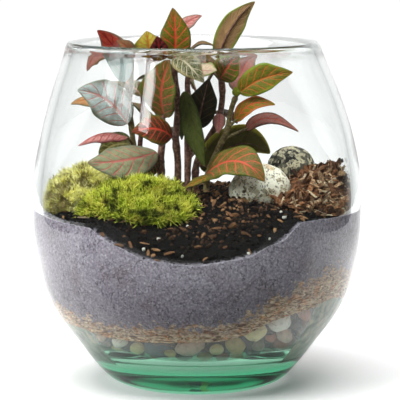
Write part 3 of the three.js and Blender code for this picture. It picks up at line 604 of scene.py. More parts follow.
# %% [markdown]
# ## Copies by the hundred
#
# Pebbles, crumbs, chips, fibres and moss shoots are each modelled once, with few faces. A helper then lays
# a copy on every chosen spot, turned, leaned and grown at random from a fixed seed, and makes one mesh
# of them all. Each copy keeps a number of its own, from which its material picks its colour.


# %% Scattering
PLAIN = 0.001  # a layer's own surface has the number 0, and copies have more than this


def template_of(piece):
    """The points, in millimetres, and the triangles of a small model, which is then removed."""
    edit(piece, (bpy.ops.mesh.quads_convert_to_tris, {}))
    points = points_of(piece)
    triangles = np.array([list(face.vertices) for face in piece.data.polygons])
    bpy.data.objects.remove(piece)
    return points, triangles


def spots_on(piece, count, seed, lowest_normal=-2.0):
    """Random points on a piece with the directions in which it faces there, in millimetres."""
    mesh = piece.data
    mesh.calc_loop_triangles()
    corners = np.empty(len(mesh.loop_triangles) * 3, dtype=int)
    mesh.loop_triangles.foreach_get("vertices", corners)
    a, b, c = points_of(piece)[corners].reshape(-1, 3, 3).transpose(1, 0, 2)
    across = np.cross(b - a, c - a)
    area = np.linalg.norm(across, axis=1)
    facing = across / np.maximum(area, 1e-9)[:, None]
    area = np.where(facing[:, 2] > lowest_normal, area, 0)
    draw = np.random.default_rng(seed)
    chosen = draw.choice(len(area), count, p=area / area.sum())
    u, v = draw.random((2, count, 1))
    flip = (u + v) > 1
    u, v = np.where(flip, 1 - u, u), np.where(flip, 1 - v, v)
    return a[chosen] + u * (b - a)[chosen] + v * (c - a)[chosen], facing[chosen]


def unit(vectors):
    return vectors / np.maximum(np.linalg.norm(vectors, axis=-1, keepdims=True), 1e-9)


def leaned(facing, spread, draw):
    """Directions that lean away at random from those in which the ground faces."""
    return unit(facing + draw.normal(0, spread, facing.shape))


def turned(up, draw):
    """Three axes for each spot: up along the third, and a random turn about it."""
    wild = unit(draw.normal(size=up.shape))
    first = unit(np.cross(up, wild))
    return np.stack([first, np.cross(up, first), up], axis=-1)


def wall_directions(turn, slope):
    """Out through the wall, and along it with a slope, at each angle round the axis."""
    outward = np.stack([np.cos(turn), np.sin(turn), 0 * turn], axis=1)
    return outward, unit(np.stack([-np.sin(turn), np.cos(turn), slope], axis=1))


def lay(points, places, axes, sizes):
    """The points of every copy: grown, turned and moved to its place."""
    return np.einsum("nij,nvj->nvi", axes, points[None] * sizes[:, None, :]) + places[:, None, :]


def scatter(name, template, places, axes, sizes, kinds, keep=None):
    """Lays a copy of a template at each place. keep tells from their points which copies stay."""
    points, triangles = template
    laid = lay(points, places, axes, sizes)
    if keep:
        good = keep(laid)
        laid, kinds = laid[good], kinds[good]
    count, each = laid.shape[:2]
    corners = (triangles[None] + each * np.arange(count)[:, None, None]).reshape(-1, 3)
    piece = mesh_of(name, laid.reshape(-1, 3), corners)
    store(piece, "kind", np.repeat(kinds, each))
    return piece


def lump_template(name, subdivisions, *lumps):
    """A lumpy ball one millimetre in radius. Each of its lumps is (height, size, seed)."""
    ball = new_from(bpy.ops.mesh.primitive_ico_sphere_add, name, subdivisions=subdivisions, radius=1)
    points = points_of(ball) * MM
    swell = 1 + sum(height * waves(points, size, seed) for height, size, seed in lumps)
    put_points(ball, points * swell[:, None])
    return template_of(ball)


def inside_glass(laid):
    """Which copies lie wholly inside the glass."""
    reach = inner_radius(laid[:, :, 2]) - GAP
    return (np.hypot(laid[:, :, 0], laid[:, :, 1]) < reach).all(axis=1)


print("spots and copies are ready")

# %% [markdown]
# ## The layers in the bowl
#
# What the bowl holds is pressed against the glass, so the side of each layer follows the smooth inside of
# the wall, while its top keeps its lumps. Points near the wall are pushed onto it, and remember how hard
# they are pressed, because soil against glass looks dry and grey and loose soil looks black. Where a layer
# has to meet the glass without a gap, a thin skin is drawn straight from the bowl's inner line.


# %% A layer from its solid
PRESS_FROM = 0.955  # from this share of the way to the wall a point begins to be pressed
PRESS_OVER = 0.02
FINE_LUMPS = 0.45  # the size of the finer lumps against the broad ones
ROUGH_FILM = 0.25  # how far coarse layers stay off the wall in places
STEP_BACK = 0.1  # how far the points that aren't pressed stay off it


def layer_from(node, name, voxel, lump_size, lump_height, relax=2, touch=False):
    """A fine copy of a solid, lumpy where it is free and pressed onto the glass where it is near."""
    piece = copy_of_node(node, name)
    modify(piece, "REMESH", mode="VOXEL", voxel_size=voxel * MM, use_smooth_shade=True)
    modify(piece, "SMOOTH", factor=0.5, iterations=relax)
    points = points_of(piece)
    facing = normals_of(piece)
    out = np.hypot(points[:, 0], points[:, 1])
    wall = inner_radius(points[:, 2]) - GAP
    pressed = np.clip((out / wall - PRESS_FROM) / PRESS_OVER, 0, 1)
    lumps = waves(points, lump_size) + 0.5 * waves(points, lump_size * FINE_LUMPS, 7.0)
    points = points + facing * (lump_height * lumps * (1 - pressed))[:, None]
    out = np.maximum(np.hypot(points[:, 0], points[:, 1]), 1e-6)
    wall = inner_radius(points[:, 2]) - GAP
    film = GAP + CONTACT if touch else -ROUGH_FILM * np.abs(waves(points, 3.0, 3.0))
    target = np.where(pressed > 0.5, wall + film, np.minimum(out, wall - STEP_BACK))
    points[:, :2] *= (target / out)[:, None]
    put_points(piece, points)
    store(piece, "pressed", pressed)
    store(piece, "kind", np.zeros(len(points)))
    return piece


# %% Where the layers meet the glass
# each table's rows are (azimuth in degrees, height in millimetres)
GRAVEL_EDGE = [
    (-148, 35), (-132, 32), (-110, 31.5), (-88, 32.5), (-75, 33), (-66, 38), (-58, 43.5), (-44, 47),
    (-28, 49), (0, 44), (40, 38), (90, 34), (140, 34), (180, 35),
]
FIBRE_EDGE = [
    (-155, 44), (-140, 39.5), (-122, 37), (-103, 39.5), (-88, 39), (-77, 40), (-69, 45.5), (-60, 52.5),
    (-46, 59), (-33, 63.5), (-5, 57), (40, 48), (90, 41), (140, 41), (180, 43),
]
SOIL_EDGE = [
    (-165, 90), (-145, 88.5), (-131, 88), (-121, 80.5), (-105, 73), (-90, 71.6), (-75, 74.4), (-61, 81.5),
    (-50, 91), (-30, 90.6), (0, 90), (45, 91.5), (90, 91), (135, 92), (180, 91),
]


def edge_height(table, azimuth):
    """Height at an azimuth, eased between the rows of a table of (azimuth, height)."""
    turns = [row[0] for row in table] + [table[0][0] + 360]
    heights = [row[1] for row in table] + [table[0][1]]
    turn = (azimuth - turns[0]) % 360 + turns[0]
    at = max(i for i, start in enumerate(turns[:-1]) if start <= turn)
    share = (turn - turns[at]) / (turns[at + 1] - turns[at])
    return heights[at] + (heights[at + 1] - heights[at]) * (1 - math.cos(math.pi * share)) / 2


def above_edge(piece, table):
    """How far each point lies above the line where a layer meets the glass, in millimetres."""
    points = points_of(piece)
    azimuths = np.degrees(np.arctan2(points[:, 1], points[:, 0]))
    return points[:, 2] - np.array([edge_height(table, azimuth) for azimuth in azimuths])


print("the soil's edge in front:", round(edge_height(SOIL_EDGE, -90), 1))

# %% A pressed skin
SKIN_THICK = 0.5
SKIN_PRESS = 0.03  # how much further than a layer its skin goes into the contact
SKIN_ROWS = 28
SKIN_TURN = 2  # degrees from one column to the next


def pressed_skin(name, start, end, bottom, top):
    """A thin closed skin in contact with the glass, between two heights that depend on the azimuth."""
    ring = end - start == 360
    columns = round((end - start) / SKIN_TURN)
    azimuths = start + SKIN_TURN * np.arange(columns if ring else columns + 1)
    points = []
    for azimuth in azimuths:
        heights = np.linspace(bottom(azimuth), top(azimuth), SKIN_ROWS)
        reach = inner_radius(heights) + CONTACT + SKIN_PRESS
        turn = math.radians(azimuth)
        points.append(np.stack([reach * math.cos(turn), reach * math.sin(turn), heights], axis=1))
    faces = []
    for column in range(columns):
        left, right = column * SKIN_ROWS, (column + 1) % len(azimuths) * SKIN_ROWS
        faces += [(left + row, right + row, right + row + 1, left + row + 1) for row in range(SKIN_ROWS - 1)]
    skin = mesh_of(name, np.vstack(points), np.array(faces))
    modify(skin, "SOLIDIFY", thickness=SKIN_THICK * MM, offset=-1)
    store(skin, "pressed", np.ones(len(skin.data.vertices)))
    return skin


# %% [markdown]
# ### Gravel
#
# The drainage layer is river gravel: worn pebbles of yellow, pink, white and slate, half a centimetre to one
# and a half long. A pebble starts as an icosphere with a few lumps. Rows of them line the wall and hide a
# plain core, and a few are placed one by one, where the photograph shows their colour and size. At both
# sides fine gravel has washed against the glass: a thin pressed skin.

# %% Pebbles along the wall
PEBBLE_ROWS = [(19.0, 26), (23.5, 29), (28.0, 31), (32.5, 33), (37.5, 33), (43.0, 34)]  # height and count
NAMED_PEBBLES = [
    (-131.0, 30.0, 9.0, 0.84), (-121.5, 27.0, 8.6, 0.22), (-111.0, 28.5, 14.0, 0.72),
    (-115.0, 21.5, 6.0, 0.12), (-93.5, 29.5, 15.0, 0.50), (-80.5, 28.5, 7.0, 0.24),
    (-70.5, 29.5, 10.5, 0.34), (-63.0, 36.5, 12.0, 0.26), (-51.5, 41.5, 13.5, 0.84),
    (-58.5, 29.0, 7.0, 0.60), (-98.0, 21.5, 9.0, 0.06), (-103.5, 26.0, 6.0, 0.36),
    (-85.5, 22.0, 8.0, 0.42), (-76.0, 22.5, 7.0, 0.14), (-68.0, 23.0, 7.0, 0.24),
    (-44.0, 33.0, 9.0, 0.50), (-124.5, 22.0, 7.0, 0.60), (-138.0, 24.0, 7.5, 0.36),
]  # azimuth, height, length in millimetres, colour number
PEBBLE_HALVES = (2.7, 4.6)  # the range of their half lengths
PEBBLE_SEEDS = (1.0, 4.0, 9.0)  # one for each of the shapes
ROOM_TURN = 1.5  # degrees that stay free beside a named pebble,
ROOM_SHARE = 0.55  # degrees more for each millimetre of its length,
ROOM_RISE = 4.2  # and millimetres above and below
CORE_BACK = 1.2  # how far the plain core lies behind the pebbles
SILT_ARCS = [(-38, 28), (152, 218)]  # where fine gravel has washed against the glass, from and to an azimuth
SILT_LOW = 17


def pebble_places():
    """The azimuth, height, half length and colour number of each pebble at the wall."""
    rng = random.Random(4)
    found = [(azimuth, height, length / 2, kind) for azimuth, height, length, kind in NAMED_PEBBLES]
    for height, count in PEBBLE_ROWS:
        for i in range(count):
            azimuth = -180 + 360 * (i + 0.35 * rng.random() + 0.5 * (count % 2)) / count
            spot = height + rng.uniform(-1, 1)
            half = rng.uniform(*PEBBLE_HALVES)
            kind = rng.random()
            taken = any(
                abs((azimuth - beside + 180) % 360 - 180) < ROOM_TURN + ROOM_SHARE * length
                and abs(spot - level) < ROOM_RISE
                for beside, level, length, _ in NAMED_PEBBLES
            )
            if not taken and spot + half * 0.6 < edge_height(GRAVEL_EDGE, azimuth) + 0.8:
                found.append((azimuth, spot, half, kind))
    return found


def pebbles_at_wall(name, template, rows, draw):
    """Copies of a pebble that lie flat against the glass, without reaching through it."""
    turn = np.radians(rows[:, 0])
    outward, flat = wall_directions(turn, draw.normal(0, 0.25, len(turn)))
    axes = np.stack([flat, np.cross(outward, flat), outward], axis=-1)
    half = rows[:, 2]
    thick = half * draw.uniform(0.55, 0.75, len(rows))
    tall = half * draw.uniform(0.62, 0.85, len(rows))
    sizes = np.stack([half, tall, thick], axis=1)
    out = inner_radius(rows[:, 1]) - GAP - thick * 0.9
    places = outward * out[:, None] + np.array([0, 0, 1]) * rows[:, 1:2]
    laid = lay(template[0], places, axes, sizes)
    beyond = np.hypot(laid[:, :, 0], laid[:, :, 1]) - (inner_radius(laid[:, :, 2]) - GAP)
    places -= outward * np.maximum(beyond.max(axis=1), 0)[:, None]
    pebbles = scatter(name, template, places, axes, sizes, rows[:, 3])
    smooth(pebbles)
    return pebbles


def silt_top(azimuth):
    return edge_height(GRAVEL_EDGE, azimuth) + 1


def make_gravel():
    core = layer_from("gravel_layer", "gravel_core", 2.0, 6.0, 0.4)
    put_points(core, points_of(core) - normals_of(core) * CORE_BACK)
    found = pebble_places()
    draw = np.random.default_rng(21)
    parts = [core]
    for index, seed in enumerate(PEBBLE_SEEDS):
        template = lump_template("pebble", 3, (0.16, 0.9, seed), (0.05, 0.4, seed + 5))
        rows = np.array(found[index :: len(PEBBLE_SEEDS)])
        parts.append(pebbles_at_wall(f"pebbles_{index}", template, rows, draw))
    for start, end in SILT_ARCS:
        silt = pressed_skin("silt", start, end, lambda azimuth: SILT_LOW, silt_top)
        store(silt, "kind", np.ones(len(silt.data.vertices)))
        parts.append(silt)
    print("pebbles:", len(found))
    return joined("gravel_stones", *parts)


# %% The look of the gravel
GRAVEL_COLOURS = [
    (0.00, paint(58, 50, 42)), (0.10, paint(184, 104, 64)), (0.20, paint(242, 230, 164)),
    (0.32, paint(230, 208, 134)), (0.46, paint(240, 208, 186)), (0.58, paint(168, 164, 140)),
    (0.68, paint(90, 106, 120)), (0.80, paint(252, 248, 234)), (0.92, paint(196, 154, 118)),
]
SILT_GRAIN = 6.0
SILT_COLOURS = [(0.36, paint(122, 134, 128)), (0.5, paint(182, 190, 178)), (0.62, paint(222, 212, 192))]
SILT_KIND = 0.995  # the silt's number is 1, and the pebbles' are below this


def gravel_finish():
    gravel = Finish("river_gravel")
    kind = gravel.value("kind")
    base = gravel.ramp(kind, *GRAVEL_COLOURS, step=True)
    blotch = gravel.grain(3.2, 5.0, 0.65)
    silt = gravel.ramp(gravel.grain(SILT_GRAIN, 5.0, 0.65), *SILT_COLOURS)
    base = gravel.mix(kind > SILT_KIND, base, silt)
    aged = gravel.mix(blotch.fade(0.45, 0.75) * 0.5, base, paint(120, 92, 66))
    speck = gravel.cells(0.7)
    specked = gravel.mix((speck < 0.16) * 0.5, aged, paint(48, 44, 40))
    relief = gravel.bump(gravel.grain(1.1, 4.0), 0.25, 0.6)
    damp = blotch.fade(0.3, 0.8, 0.4, 0.65)
    return gravel.show(gravel.skin(Base_Color=specked, Roughness=damp, Normal=relief))


settle(make_gravel(), "gravel_layer", "river_gravel", gravel_finish())

# %% [markdown]
# ### Coir fibre
#
# Over the gravel lies a mat of coconut fibre. Seen through the glass it is a thin tan band of fuzzy,
# tangled strands. One short strand is a thin, bent wire with three sides. Hundreds of copies lie along
# the wall and over the edge of the mat.


# %% Strands
STRAND_STEPS = 6
STRAND_RADIUS = 0.02
STRAND_BENDS = (0.06, 0.22, 0.4)
STRAND_SPOTS = 9000  # for each bend, of which those near the wall are used
STRAND_REACH = 4  # how near
COIR_SIZE = 1 / 0.55  # of the strands in the colour
COIR_ROUND = 70  # turns an angle round the wall into millimetres, about


def strand_template(bend):
    """A bent strand one millimetre in half length, closed at both ends."""
    points = []
    for i in range(STRAND_STEPS + 1):
        along = 2 * i / STRAND_STEPS - 1
        side = bend * (math.cos(along * 1.6) - 0.5)
        lift = 0.4 * bend * math.sin(along * 2.6)
        for k in range(3):
            turn = 2 * math.pi * k / 3
            across, up = STRAND_RADIUS * math.cos(turn), STRAND_RADIUS * math.sin(turn)
            points.append((along, side + across, lift + up))
    last = 3 * STRAND_STEPS
    triangles = [(0, 1, 2), (last, last + 2, last + 1)]
    for i in range(STRAND_STEPS):
        for k in range(3):
            a, b = 3 * i + k, 3 * i + (k + 1) % 3
            triangles += [(a, b + 3, b), (a, a + 3, b + 3)]
    return np.array(points), np.array(triangles)


def make_fibre():
    mat = layer_from("fibre_layer", "fibre_mat", 1.4, 3.0, 0.5, touch=True)
    parts = [mat]
    for index, bend in enumerate(STRAND_BENDS):
        draw = np.random.default_rng(31 + index)
        places, _ = spots_on(mat, STRAND_SPOTS, 40 + index)
        out = np.hypot(places[:, 0], places[:, 1])
        places = places[out > inner_radius(places[:, 2]) - STRAND_REACH]
        count = len(places)
        turn = np.arctan2(places[:, 1], places[:, 0])
        outward, along = wall_directions(turn, draw.normal(0, 0.55, count))
        across = np.cross(outward, along)
        axes = np.stack([along, across, unit(np.cross(along, across))], axis=-1)
        half = draw.uniform(2.0, 6.5, (count, 1))
        places = places + outward * draw.uniform(0.1, 1.7, (count, 1))
        places[:, 2] += draw.uniform(-2.2, 2.0, count)
        kinds = draw.random(count)
        strand = strand_template(bend)
        parts.append(scatter(f"strands_{index}", strand, places, axes, half, kinds, inside_glass))
    return joined("coir_mat", *parts)


def coir_colours(finish):
    """Tangled tan and rusty strands that run round the wall, with painted highlights on the palest of them.
    """
    spot = finish.place()
    x, y, z = [finish.axis(spot, index) for index in range(3)]
    round_wall = y.maths("ARCTAN2", y, x) * COIR_ROUND
    out = x.maths("SQRT", x * x + y * y)
    flat = finish.node("ShaderNodeCombineXYZ", None, {0: round_wall * 0.4, 1: z, 2: out})
    strands = finish.grain(COIR_SIZE, 7.0, 0.78, 1.6, flat)
    # the palest stops paint highlights along the strands over their own tan and brown
    tan = finish.ramp(
        strands, (0.36, paint(58, 42, 31)), (0.44, paint(150, 112, 84)), (0.53, paint(228, 198, 168)),
        (0.6, paint(255, 240, 214)),
    )
    rust = finish.grain(4.0, 4.0, 0.7).fade(0.5, 0.64) * 0.7
    return finish.mix(rust, tan, finish.tinted(tan, paint(250, 190, 140))), strands


def fibre_finish():
    fibre = Finish("coir_fibre")
    kind = fibre.value("kind")
    colours, strands = coir_colours(fibre)
    strand = fibre.ramp(
        kind, (0.0, paint(150, 112, 80)), (0.3, paint(196, 166, 136)), (0.6, paint(176, 118, 70)),
        (0.85, paint(222, 198, 170)),
    )
    shaded = fibre.mix(kind > PLAIN, colours, strand)
    relief = fibre.bump(strands, 0.4, 0.8)
    skin = fibre.skin(Base_Color=shaded, Roughness=0.85, Specular_IOR_Level=DULL, Normal=relief)
    return fibre.show(skin)


settle(make_fibre(), "fibre_layer", "coir_fibre", fibre_finish())

# %% [markdown]
# ### Potting soil
#
# The soil is one body with holes for the stems and beds for the stones. Crumbs of peat, shreds of bark and
# white grains of perlite lie loose on its top. Pressed against the glass it is dry and grey, with pale
# specks and fine roots.

# %% Soil, crumbs and perlite
CRUMBS = 3600
PERLITE = 26
SHREDS = 190
SKIN_BELOW = 2.5  # how far the pressed skin of soil reaches down past the fibre's edge
SKIN_ABOVE = 0.9  # and up past the soil's own
# painted shade: crumbs near the wall are painted darker
SHADE_FROM = 7  # crumbs are darkest up to this far from the wall, and palest SHADE_OVER further in
SHADE_OVER = 28
SHADE_LEAST = 0.06
SPECK_SIZE = 1.9
FUZZ_RISE = 32  # how raggedly the fibre reaches up into the soil


def chip_template():
    """A splinter of bark one millimetre in half length: a bar with a narrow end and a broken edge."""
    bar = new_from(bpy.ops.mesh.primitive_cube_add, "chip", size=2)
    edit(bar, (bpy.ops.mesh.subdivide, {"number_cuts": 1}))
    points = points_of(bar) * MM
    narrow = np.where(points[:, 0] > 0.5, 0.45, np.where(points[:, 0] < -0.5, 0.8, 1.0))
    points[:, 1] = points[:, 1] * narrow + 0.12 * points[:, 0]
    points[:, 2] *= np.where(np.abs(points[:, 0]) > 0.5, 0.6, 1.0)
    points += 0.12 * np.stack([waves(points, 0.8, seed) for seed in (1.0, 5.0, 9.0)], axis=1)
    put_points(bar, points)
    return template_of(bar)


def crumbs_on(body, draw):
    """Loose crumbs, with painted shade that makes them darker towards the wall."""
    places, facing = spots_on(body, CRUMBS, 52, 0.35)
    size = draw.gamma(2.2, 0.24, CRUMBS) + 0.25
    sizes = size[:, None] * draw.uniform(0.7, 1.3, (CRUMBS, 3))
    up = leaned(facing, 0.3, draw)
    inward = inner_radius(places[:, 2]) - np.hypot(places[:, 0], places[:, 1])
    lit = np.clip((inward - SHADE_FROM) / SHADE_OVER, SHADE_LEAST, 1)
    kinds = 0.05 + 0.75 * draw.random(CRUMBS) ** 1.5 * lit
    crumb = lump_template("crumb", 1, (0.5, 0.7, 2.0))
    return scatter("crumbs", crumb, places, turned(up, draw), sizes, kinds, inside_glass)


def shreds_on(body, draw):
    places, facing = spots_on(body, SHREDS, 53, 0.4)
    ranges = ((0.9, 3.0), (0.4, 1.0), (0.25, 0.5))
    sizes = np.stack([draw.uniform(low, high, SHREDS) for low, high in ranges], axis=1)
    up = leaned(facing, 0.25, draw)
    kinds = 0.4 + 0.45 * draw.random(SHREDS)
    return scatter("shreds", chip_template(), places + up * 0.6, turned(up, draw), sizes, kinds, inside_glass)


def perlite_on(body, draw):
    places, facing = spots_on(body, PERLITE, 54, 0.4)
    sizes = draw.uniform(0.5, 1.2, (PERLITE, 1)) * draw.uniform(0.7, 1.2, (PERLITE, 3))
    grain = lump_template("grain", 1, (0.5, 0.7, 8.0))
    kinds = np.full(PERLITE, 0.95)
    return scatter("grains", grain, places + facing * 0.5, turned(facing, draw), sizes, kinds, inside_glass)


def skin_bottom(azimuth):
    return edge_height(FIBRE_EDGE, azimuth) - SKIN_BELOW


def skin_top(azimuth):
    return edge_height(SOIL_EDGE, azimuth) + SKIN_ABOVE


def make_soil():
    body = layer_from("potting_soil", "soil_bulk", 1.3, 4.0, 0.8, touch=True)
    draw = np.random.default_rng(51)
    loose = [crumbs_on(body, draw), shreds_on(body, draw), perlite_on(body, draw)]
    for part in loose:
        store(part, "pressed", np.zeros(len(part.data.vertices)))
    skin = pressed_skin("soil_skin", -180, 180, skin_bottom, skin_top)
    for part in (body, skin):
        store(part, "rise", above_edge(part, FIBRE_EDGE))
    return joined("soil", body, *loose, skin)


def soil_finish():
    soil = Finish("potting_soil")
    kind = soil.value("kind")
    pressed = soil.value("pressed")
    loose = soil.ramp(
        kind, (0.0, paint(10, 8, 7)), (0.1, paint(18, 13, 11)), (0.3, paint(70, 50, 37)),
        (0.58, paint(128, 90, 62)), (0.8, paint(186, 142, 100)), (0.94, paint(232, 228, 216)),
    )
    patches = soil.grain(5.0, 6.0, 0.7)
    dark = soil.mix(patches.fade(0.35, 0.7), loose, soil.mix(0.5, loose, paint(10, 8, 8)))
    dust = soil.grain(1.2, 8.0, 0.85)
    grey = soil.ramp(
        dust, (0.34, paint(88, 81, 89)), (0.44, paint(138, 129, 141)), (0.54, paint(172, 162, 175)),
        (0.62, paint(212, 204, 216)), (0.7, paint(246, 240, 248)),
    )
    broad = soil.grain(16.0, 5.0, 0.65)
    stained = soil.mix(broad.fade(0.5, 0.7) * 0.4, grey, soil.tinted(grey, paint(196, 176, 160)))
    crack = abs(soil.grain(9.0, 4.0, 0.6) - 0.5) < 0.008
    cracked = soil.mix(crack * 0.6, stained, paint(26, 22, 22))
    specks = (soil.cells(SPECK_SIZE) < 0.17) * (soil.chance(SPECK_SIZE) > 0.76)
    dotted = soil.mix(specks * 0.9, cracked, paint(222, 218, 214))
    colours, _ = coir_colours(soil)
    fuzz = soil.value("rise") < (soil.grain(3.6, 6.0, 0.75) - 0.42) * FUZZ_RISE
    fringed = soil.mix(fuzz * 0.85, dotted, colours)
    colour = soil.mix(pressed, dark, fringed)
    relief = soil.bump(soil.grain(0.9, 5.0, 0.7), 0.5, 0.8)
    skin = soil.skin(Base_Color=colour, Roughness=0.9, Specular_IOR_Level=DULL, Normal=relief)
    return soil.show(skin)


settle(make_soil(), "potting_soil", "potting_soil", soil_finish())

# %% [markdown]
# ## Moss
#
# Two cushions of moss grow on the soil: a pale yellow one at the left, and a vivid green one in front. Moss
# is a crowd of tiny shoots, each a star of thin leaves. One star is modelled with three-sided leaves, and
# about a thousand copies cover each cushion, so that its outline is soft. Its colour goes with depth: dark
# between the shoots, where the shoots' own darker feet also carry painted shade, and bright at the tips,
# which are paler growth with painted light on top.


# %% A moss shoot
def shoot_template(leaves, spread):
    """A star of thin leaves round a short stalk, and how far out each of its points is."""
    parts = []
    cone = {"vertices": 3, "radius1": 0.1, "depth": 1, "end_fill_type": "NOTHING"}
    for i in range(leaves):
        turn = 2 * math.pi * i / leaves
        lean = spread * (1 if i % 2 else 0.55)
        leaf = new_from(bpy.ops.mesh.primitive_cone_add, "moss_leaf", **cone)
        out, rise = 0.5 * math.sin(lean), 0.5 * math.cos(lean)
        leaf.location = (out * math.cos(turn), out * math.sin(turn), rise)
        leaf.rotation_euler = (0, lean, turn)
        bpy.ops.object.transform_apply(location=True, rotation=True, scale=True)
        parts.append(leaf)
    points, triangles = template_of(joined("star", *parts))
    points = points * MM
    reach = np.hypot(points[:, 0], points[:, 1]) + np.maximum(points[:, 2], 0)
    return (points, triangles), reach / reach.max()


# %% Two cushions
# the cushion under the shoots takes the root colour: painted shade
BURIED = -0.3  # for the cushion itself, where a shoot has 0 at its foot and 1 at its tips
MOSSES = [
    {
        "node": "moss_cushion_left", "name": "pale_moss", "count": 1600, "size": 3.9,
        "leaves": 6, "spread": 0.8, "seed": 61, "lean": 0.3,
        "paints": (paint(122, 104, 62), paint(228, 222, 118), paint(255, 252, 180), paint(255, 248, 210)),
    },
    {
        "node": "moss_cushion_front", "name": "green_moss", "count": 1050, "size": 4.4,
        "leaves": 8, "spread": 1.05, "seed": 71, "lean": 0.4,
        "paints": (paint(32, 38, 12), paint(134, 152, 28), paint(250, 252, 104), paint(226, 208, 100)),
    },
# the root paint also paints the shade between the shoots, and the bright tips are partly painted light
]  # the paints are those of the root, the body, the bright tips and the dry ones


def make_moss(node, name, count, size, leaves, spread, seed, lean):
    cushion = layer_from(node, f"{name}_base", 1.5, 7.0, 1.8, relax=3)
    star, tips = shoot_template(leaves, spread)
    draw = np.random.default_rng(seed)
    places, facing = spots_on(cushion, count, seed + 1, -0.25)
    places = places + facing * draw.uniform(-1.0, 1.2, (count, 1))
    up = leaned(facing + np.array([0, 0, lean]), 0.5, draw)
    sizes = draw.uniform(0.6, 1.35, (count, 1)) * size
    kinds = np.clip(0.5 + 0.6 * waves(places, 9.0, seed) + draw.normal(0, 0.3, count), 0, 1)
    shoots = scatter(f"{name}_shoots", star, places, turned(up, draw), sizes, kinds, inside_glass)
    store(shoots, "tip", np.tile(tips, len(shoots.data.vertices) // len(tips)))
    store(cushion, "tip", np.full(len(cushion.data.vertices), BURIED))
    return joined(name, cushion, shoots)


def moss_finish(name, root, body, bright, dry):
    moss = Finish(name)
    tip = moss.value("tip")
    kind = moss.value("kind")
    # partly own colour, partly painted light: darker towards each shoot's foot, which also paints the shade
    # between the shoots, and bright at its tips, which partly paints their highlights
    deep = moss.mix(tip.fade(-0.2, 0.45), root, body)
    lit = moss.mix(tip.fade(0.35, 1.0), deep, bright)
    aged = moss.mix(kind.fade(0.68, 1.0) * 0.6, lit, dry)
    toned = moss.mix(kind.fade(0.0, 0.4, 0.45, 0.0), aged, body)
    # painted shade: dark patches of root colour for the hollows of the cushion
    painted_hollow_shade = moss.mix(moss.grain(7.0, 4.0, 0.6).fade(0.48, 0.6) * 0.85, toned, root)
    return moss.show(moss.skin(Base_Color=painted_hollow_shade, Roughness=0.75, Specular_IOR_Level=DULL))


for moss in MOSSES:
    finish = moss_finish(f"{moss['name']}_finish", *moss.pop("paints"))
    settle(make_moss(**moss), moss["node"], "moss", finish)

# %% [markdown]
# ## Bark mulch
#
# The heap at the right is shredded bark: flat, fibrous chips and splinters in reds and browns. Hundreds of
# copies of one broken bar lie on a rough heap. Most lie flat and a few stand up.

# %% Bark chips
BARK_CHIPS = 620
BARK_FIBRES = 260
BARK_GRAIN = 1 / 1.1
CHIP_PATCH = 2.6  # the size of the chips in the heap's own colour
STONES = {
    "stone_front": {
        "centre": (32, -6, 99.5), "radii": (16.2, 12.5, 13.2), "turn": 0.15, "tilt": 0.1,
        "lumps": 0.07, "phase": 0.6,
    },
    "stone_back": {
        "centre": (50.5, 23, 106.3), "radii": (13.6, 13.4, 12.6), "turn": -0.3, "tilt": 0.15,
        "lumps": 0.06, "phase": 2.1,
    },
}  # millimetres and radians


def clear_of_stones(laid):
    """Which copies lie inside the glass and clear of the two stones."""
    good = inside_glass(laid)
    for stone in STONES.values():
        away = (laid - np.array(stone["centre"])) / (np.array(stone["radii"]) * 0.97)
        good &= (np.linalg.norm(away, axis=2) > 1).all(axis=1)
    return good


def chips_on(heap, draw):
    places, facing = spots_on(heap, BARK_CHIPS, 82, 0.1)
    up = leaned(facing, 0.45, draw)
    long = draw.gamma(4.0, 0.8, BARK_CHIPS) + 1.2
    wide, deep = draw.uniform(0.6, 1.9, BARK_CHIPS), draw.uniform(0.3, 0.8, BARK_CHIPS)
    sizes = np.stack([long, wide, deep], axis=1)
    axes, kinds = turned(up, draw), draw.random(BARK_CHIPS)
    return scatter("chips", chip_template(), places + up * 0.5, axes, sizes, kinds, clear_of_stones)


def straws_on(heap, draw):
    places, facing = spots_on(heap, BARK_FIBRES, 84, 0.1)
    up = leaned(facing, 0.4, draw)
    half = draw.uniform(2.0, 5.5, (BARK_FIBRES, 1))
    axes, kinds = turned(up, draw), 0.8 + 0.2 * draw.random(BARK_FIBRES)
    return scatter("straws", strand_template(0.2), places + up * 0.8, axes, half, kinds, clear_of_stones)


def make_bark():
    heap = layer_from("bark_mulch", "bark_base", 1.4, 4.0, 0.9, relax=1)
    draw = np.random.default_rng(81)
    return joined("bark_chips", heap, chips_on(heap, draw), straws_on(heap, draw))


def bark_finish():
    bark = Finish("shredded_bark")
    kind = bark.value("kind")
    kind = kind + (kind < PLAIN) * bark.chance(CHIP_PATCH)
    brown = bark.ramp(
        kind, (0.0, paint(46, 30, 20)), (0.25, paint(112, 74, 50)), (0.5, paint(164, 112, 76)),
        (0.7, paint(66, 44, 31)), (0.86, paint(200, 160, 122)), (1.0, paint(238, 218, 184)),
    )
    long_grain = bark.grain(BARK_GRAIN, 5.0, 0.7, 1.2)
    worn = bark.mix(long_grain.fade(0.42, 0.6) * 0.75, brown, paint(24, 15, 11))
    relief = bark.bump(long_grain, 0.5, 0.8)
    skin = bark.skin(Base_Color=worn, Roughness=0.85, Specular_IOR_Level=DULL, Normal=relief)
    return bark.show(skin)


settle(make_bark(), "bark_mulch", "shredded_bark", bark_finish())

# %% [markdown]
# ## Granite stones
#
# Each stone is a water-worn granite pebble. A finely divided icosphere takes the same broad lumps as the
# solid in the frame, then a fine grain. Granite is a mix of crystals, so its colour comes from cells of
# different sizes: pale feldspar, grey quartz and black mica.


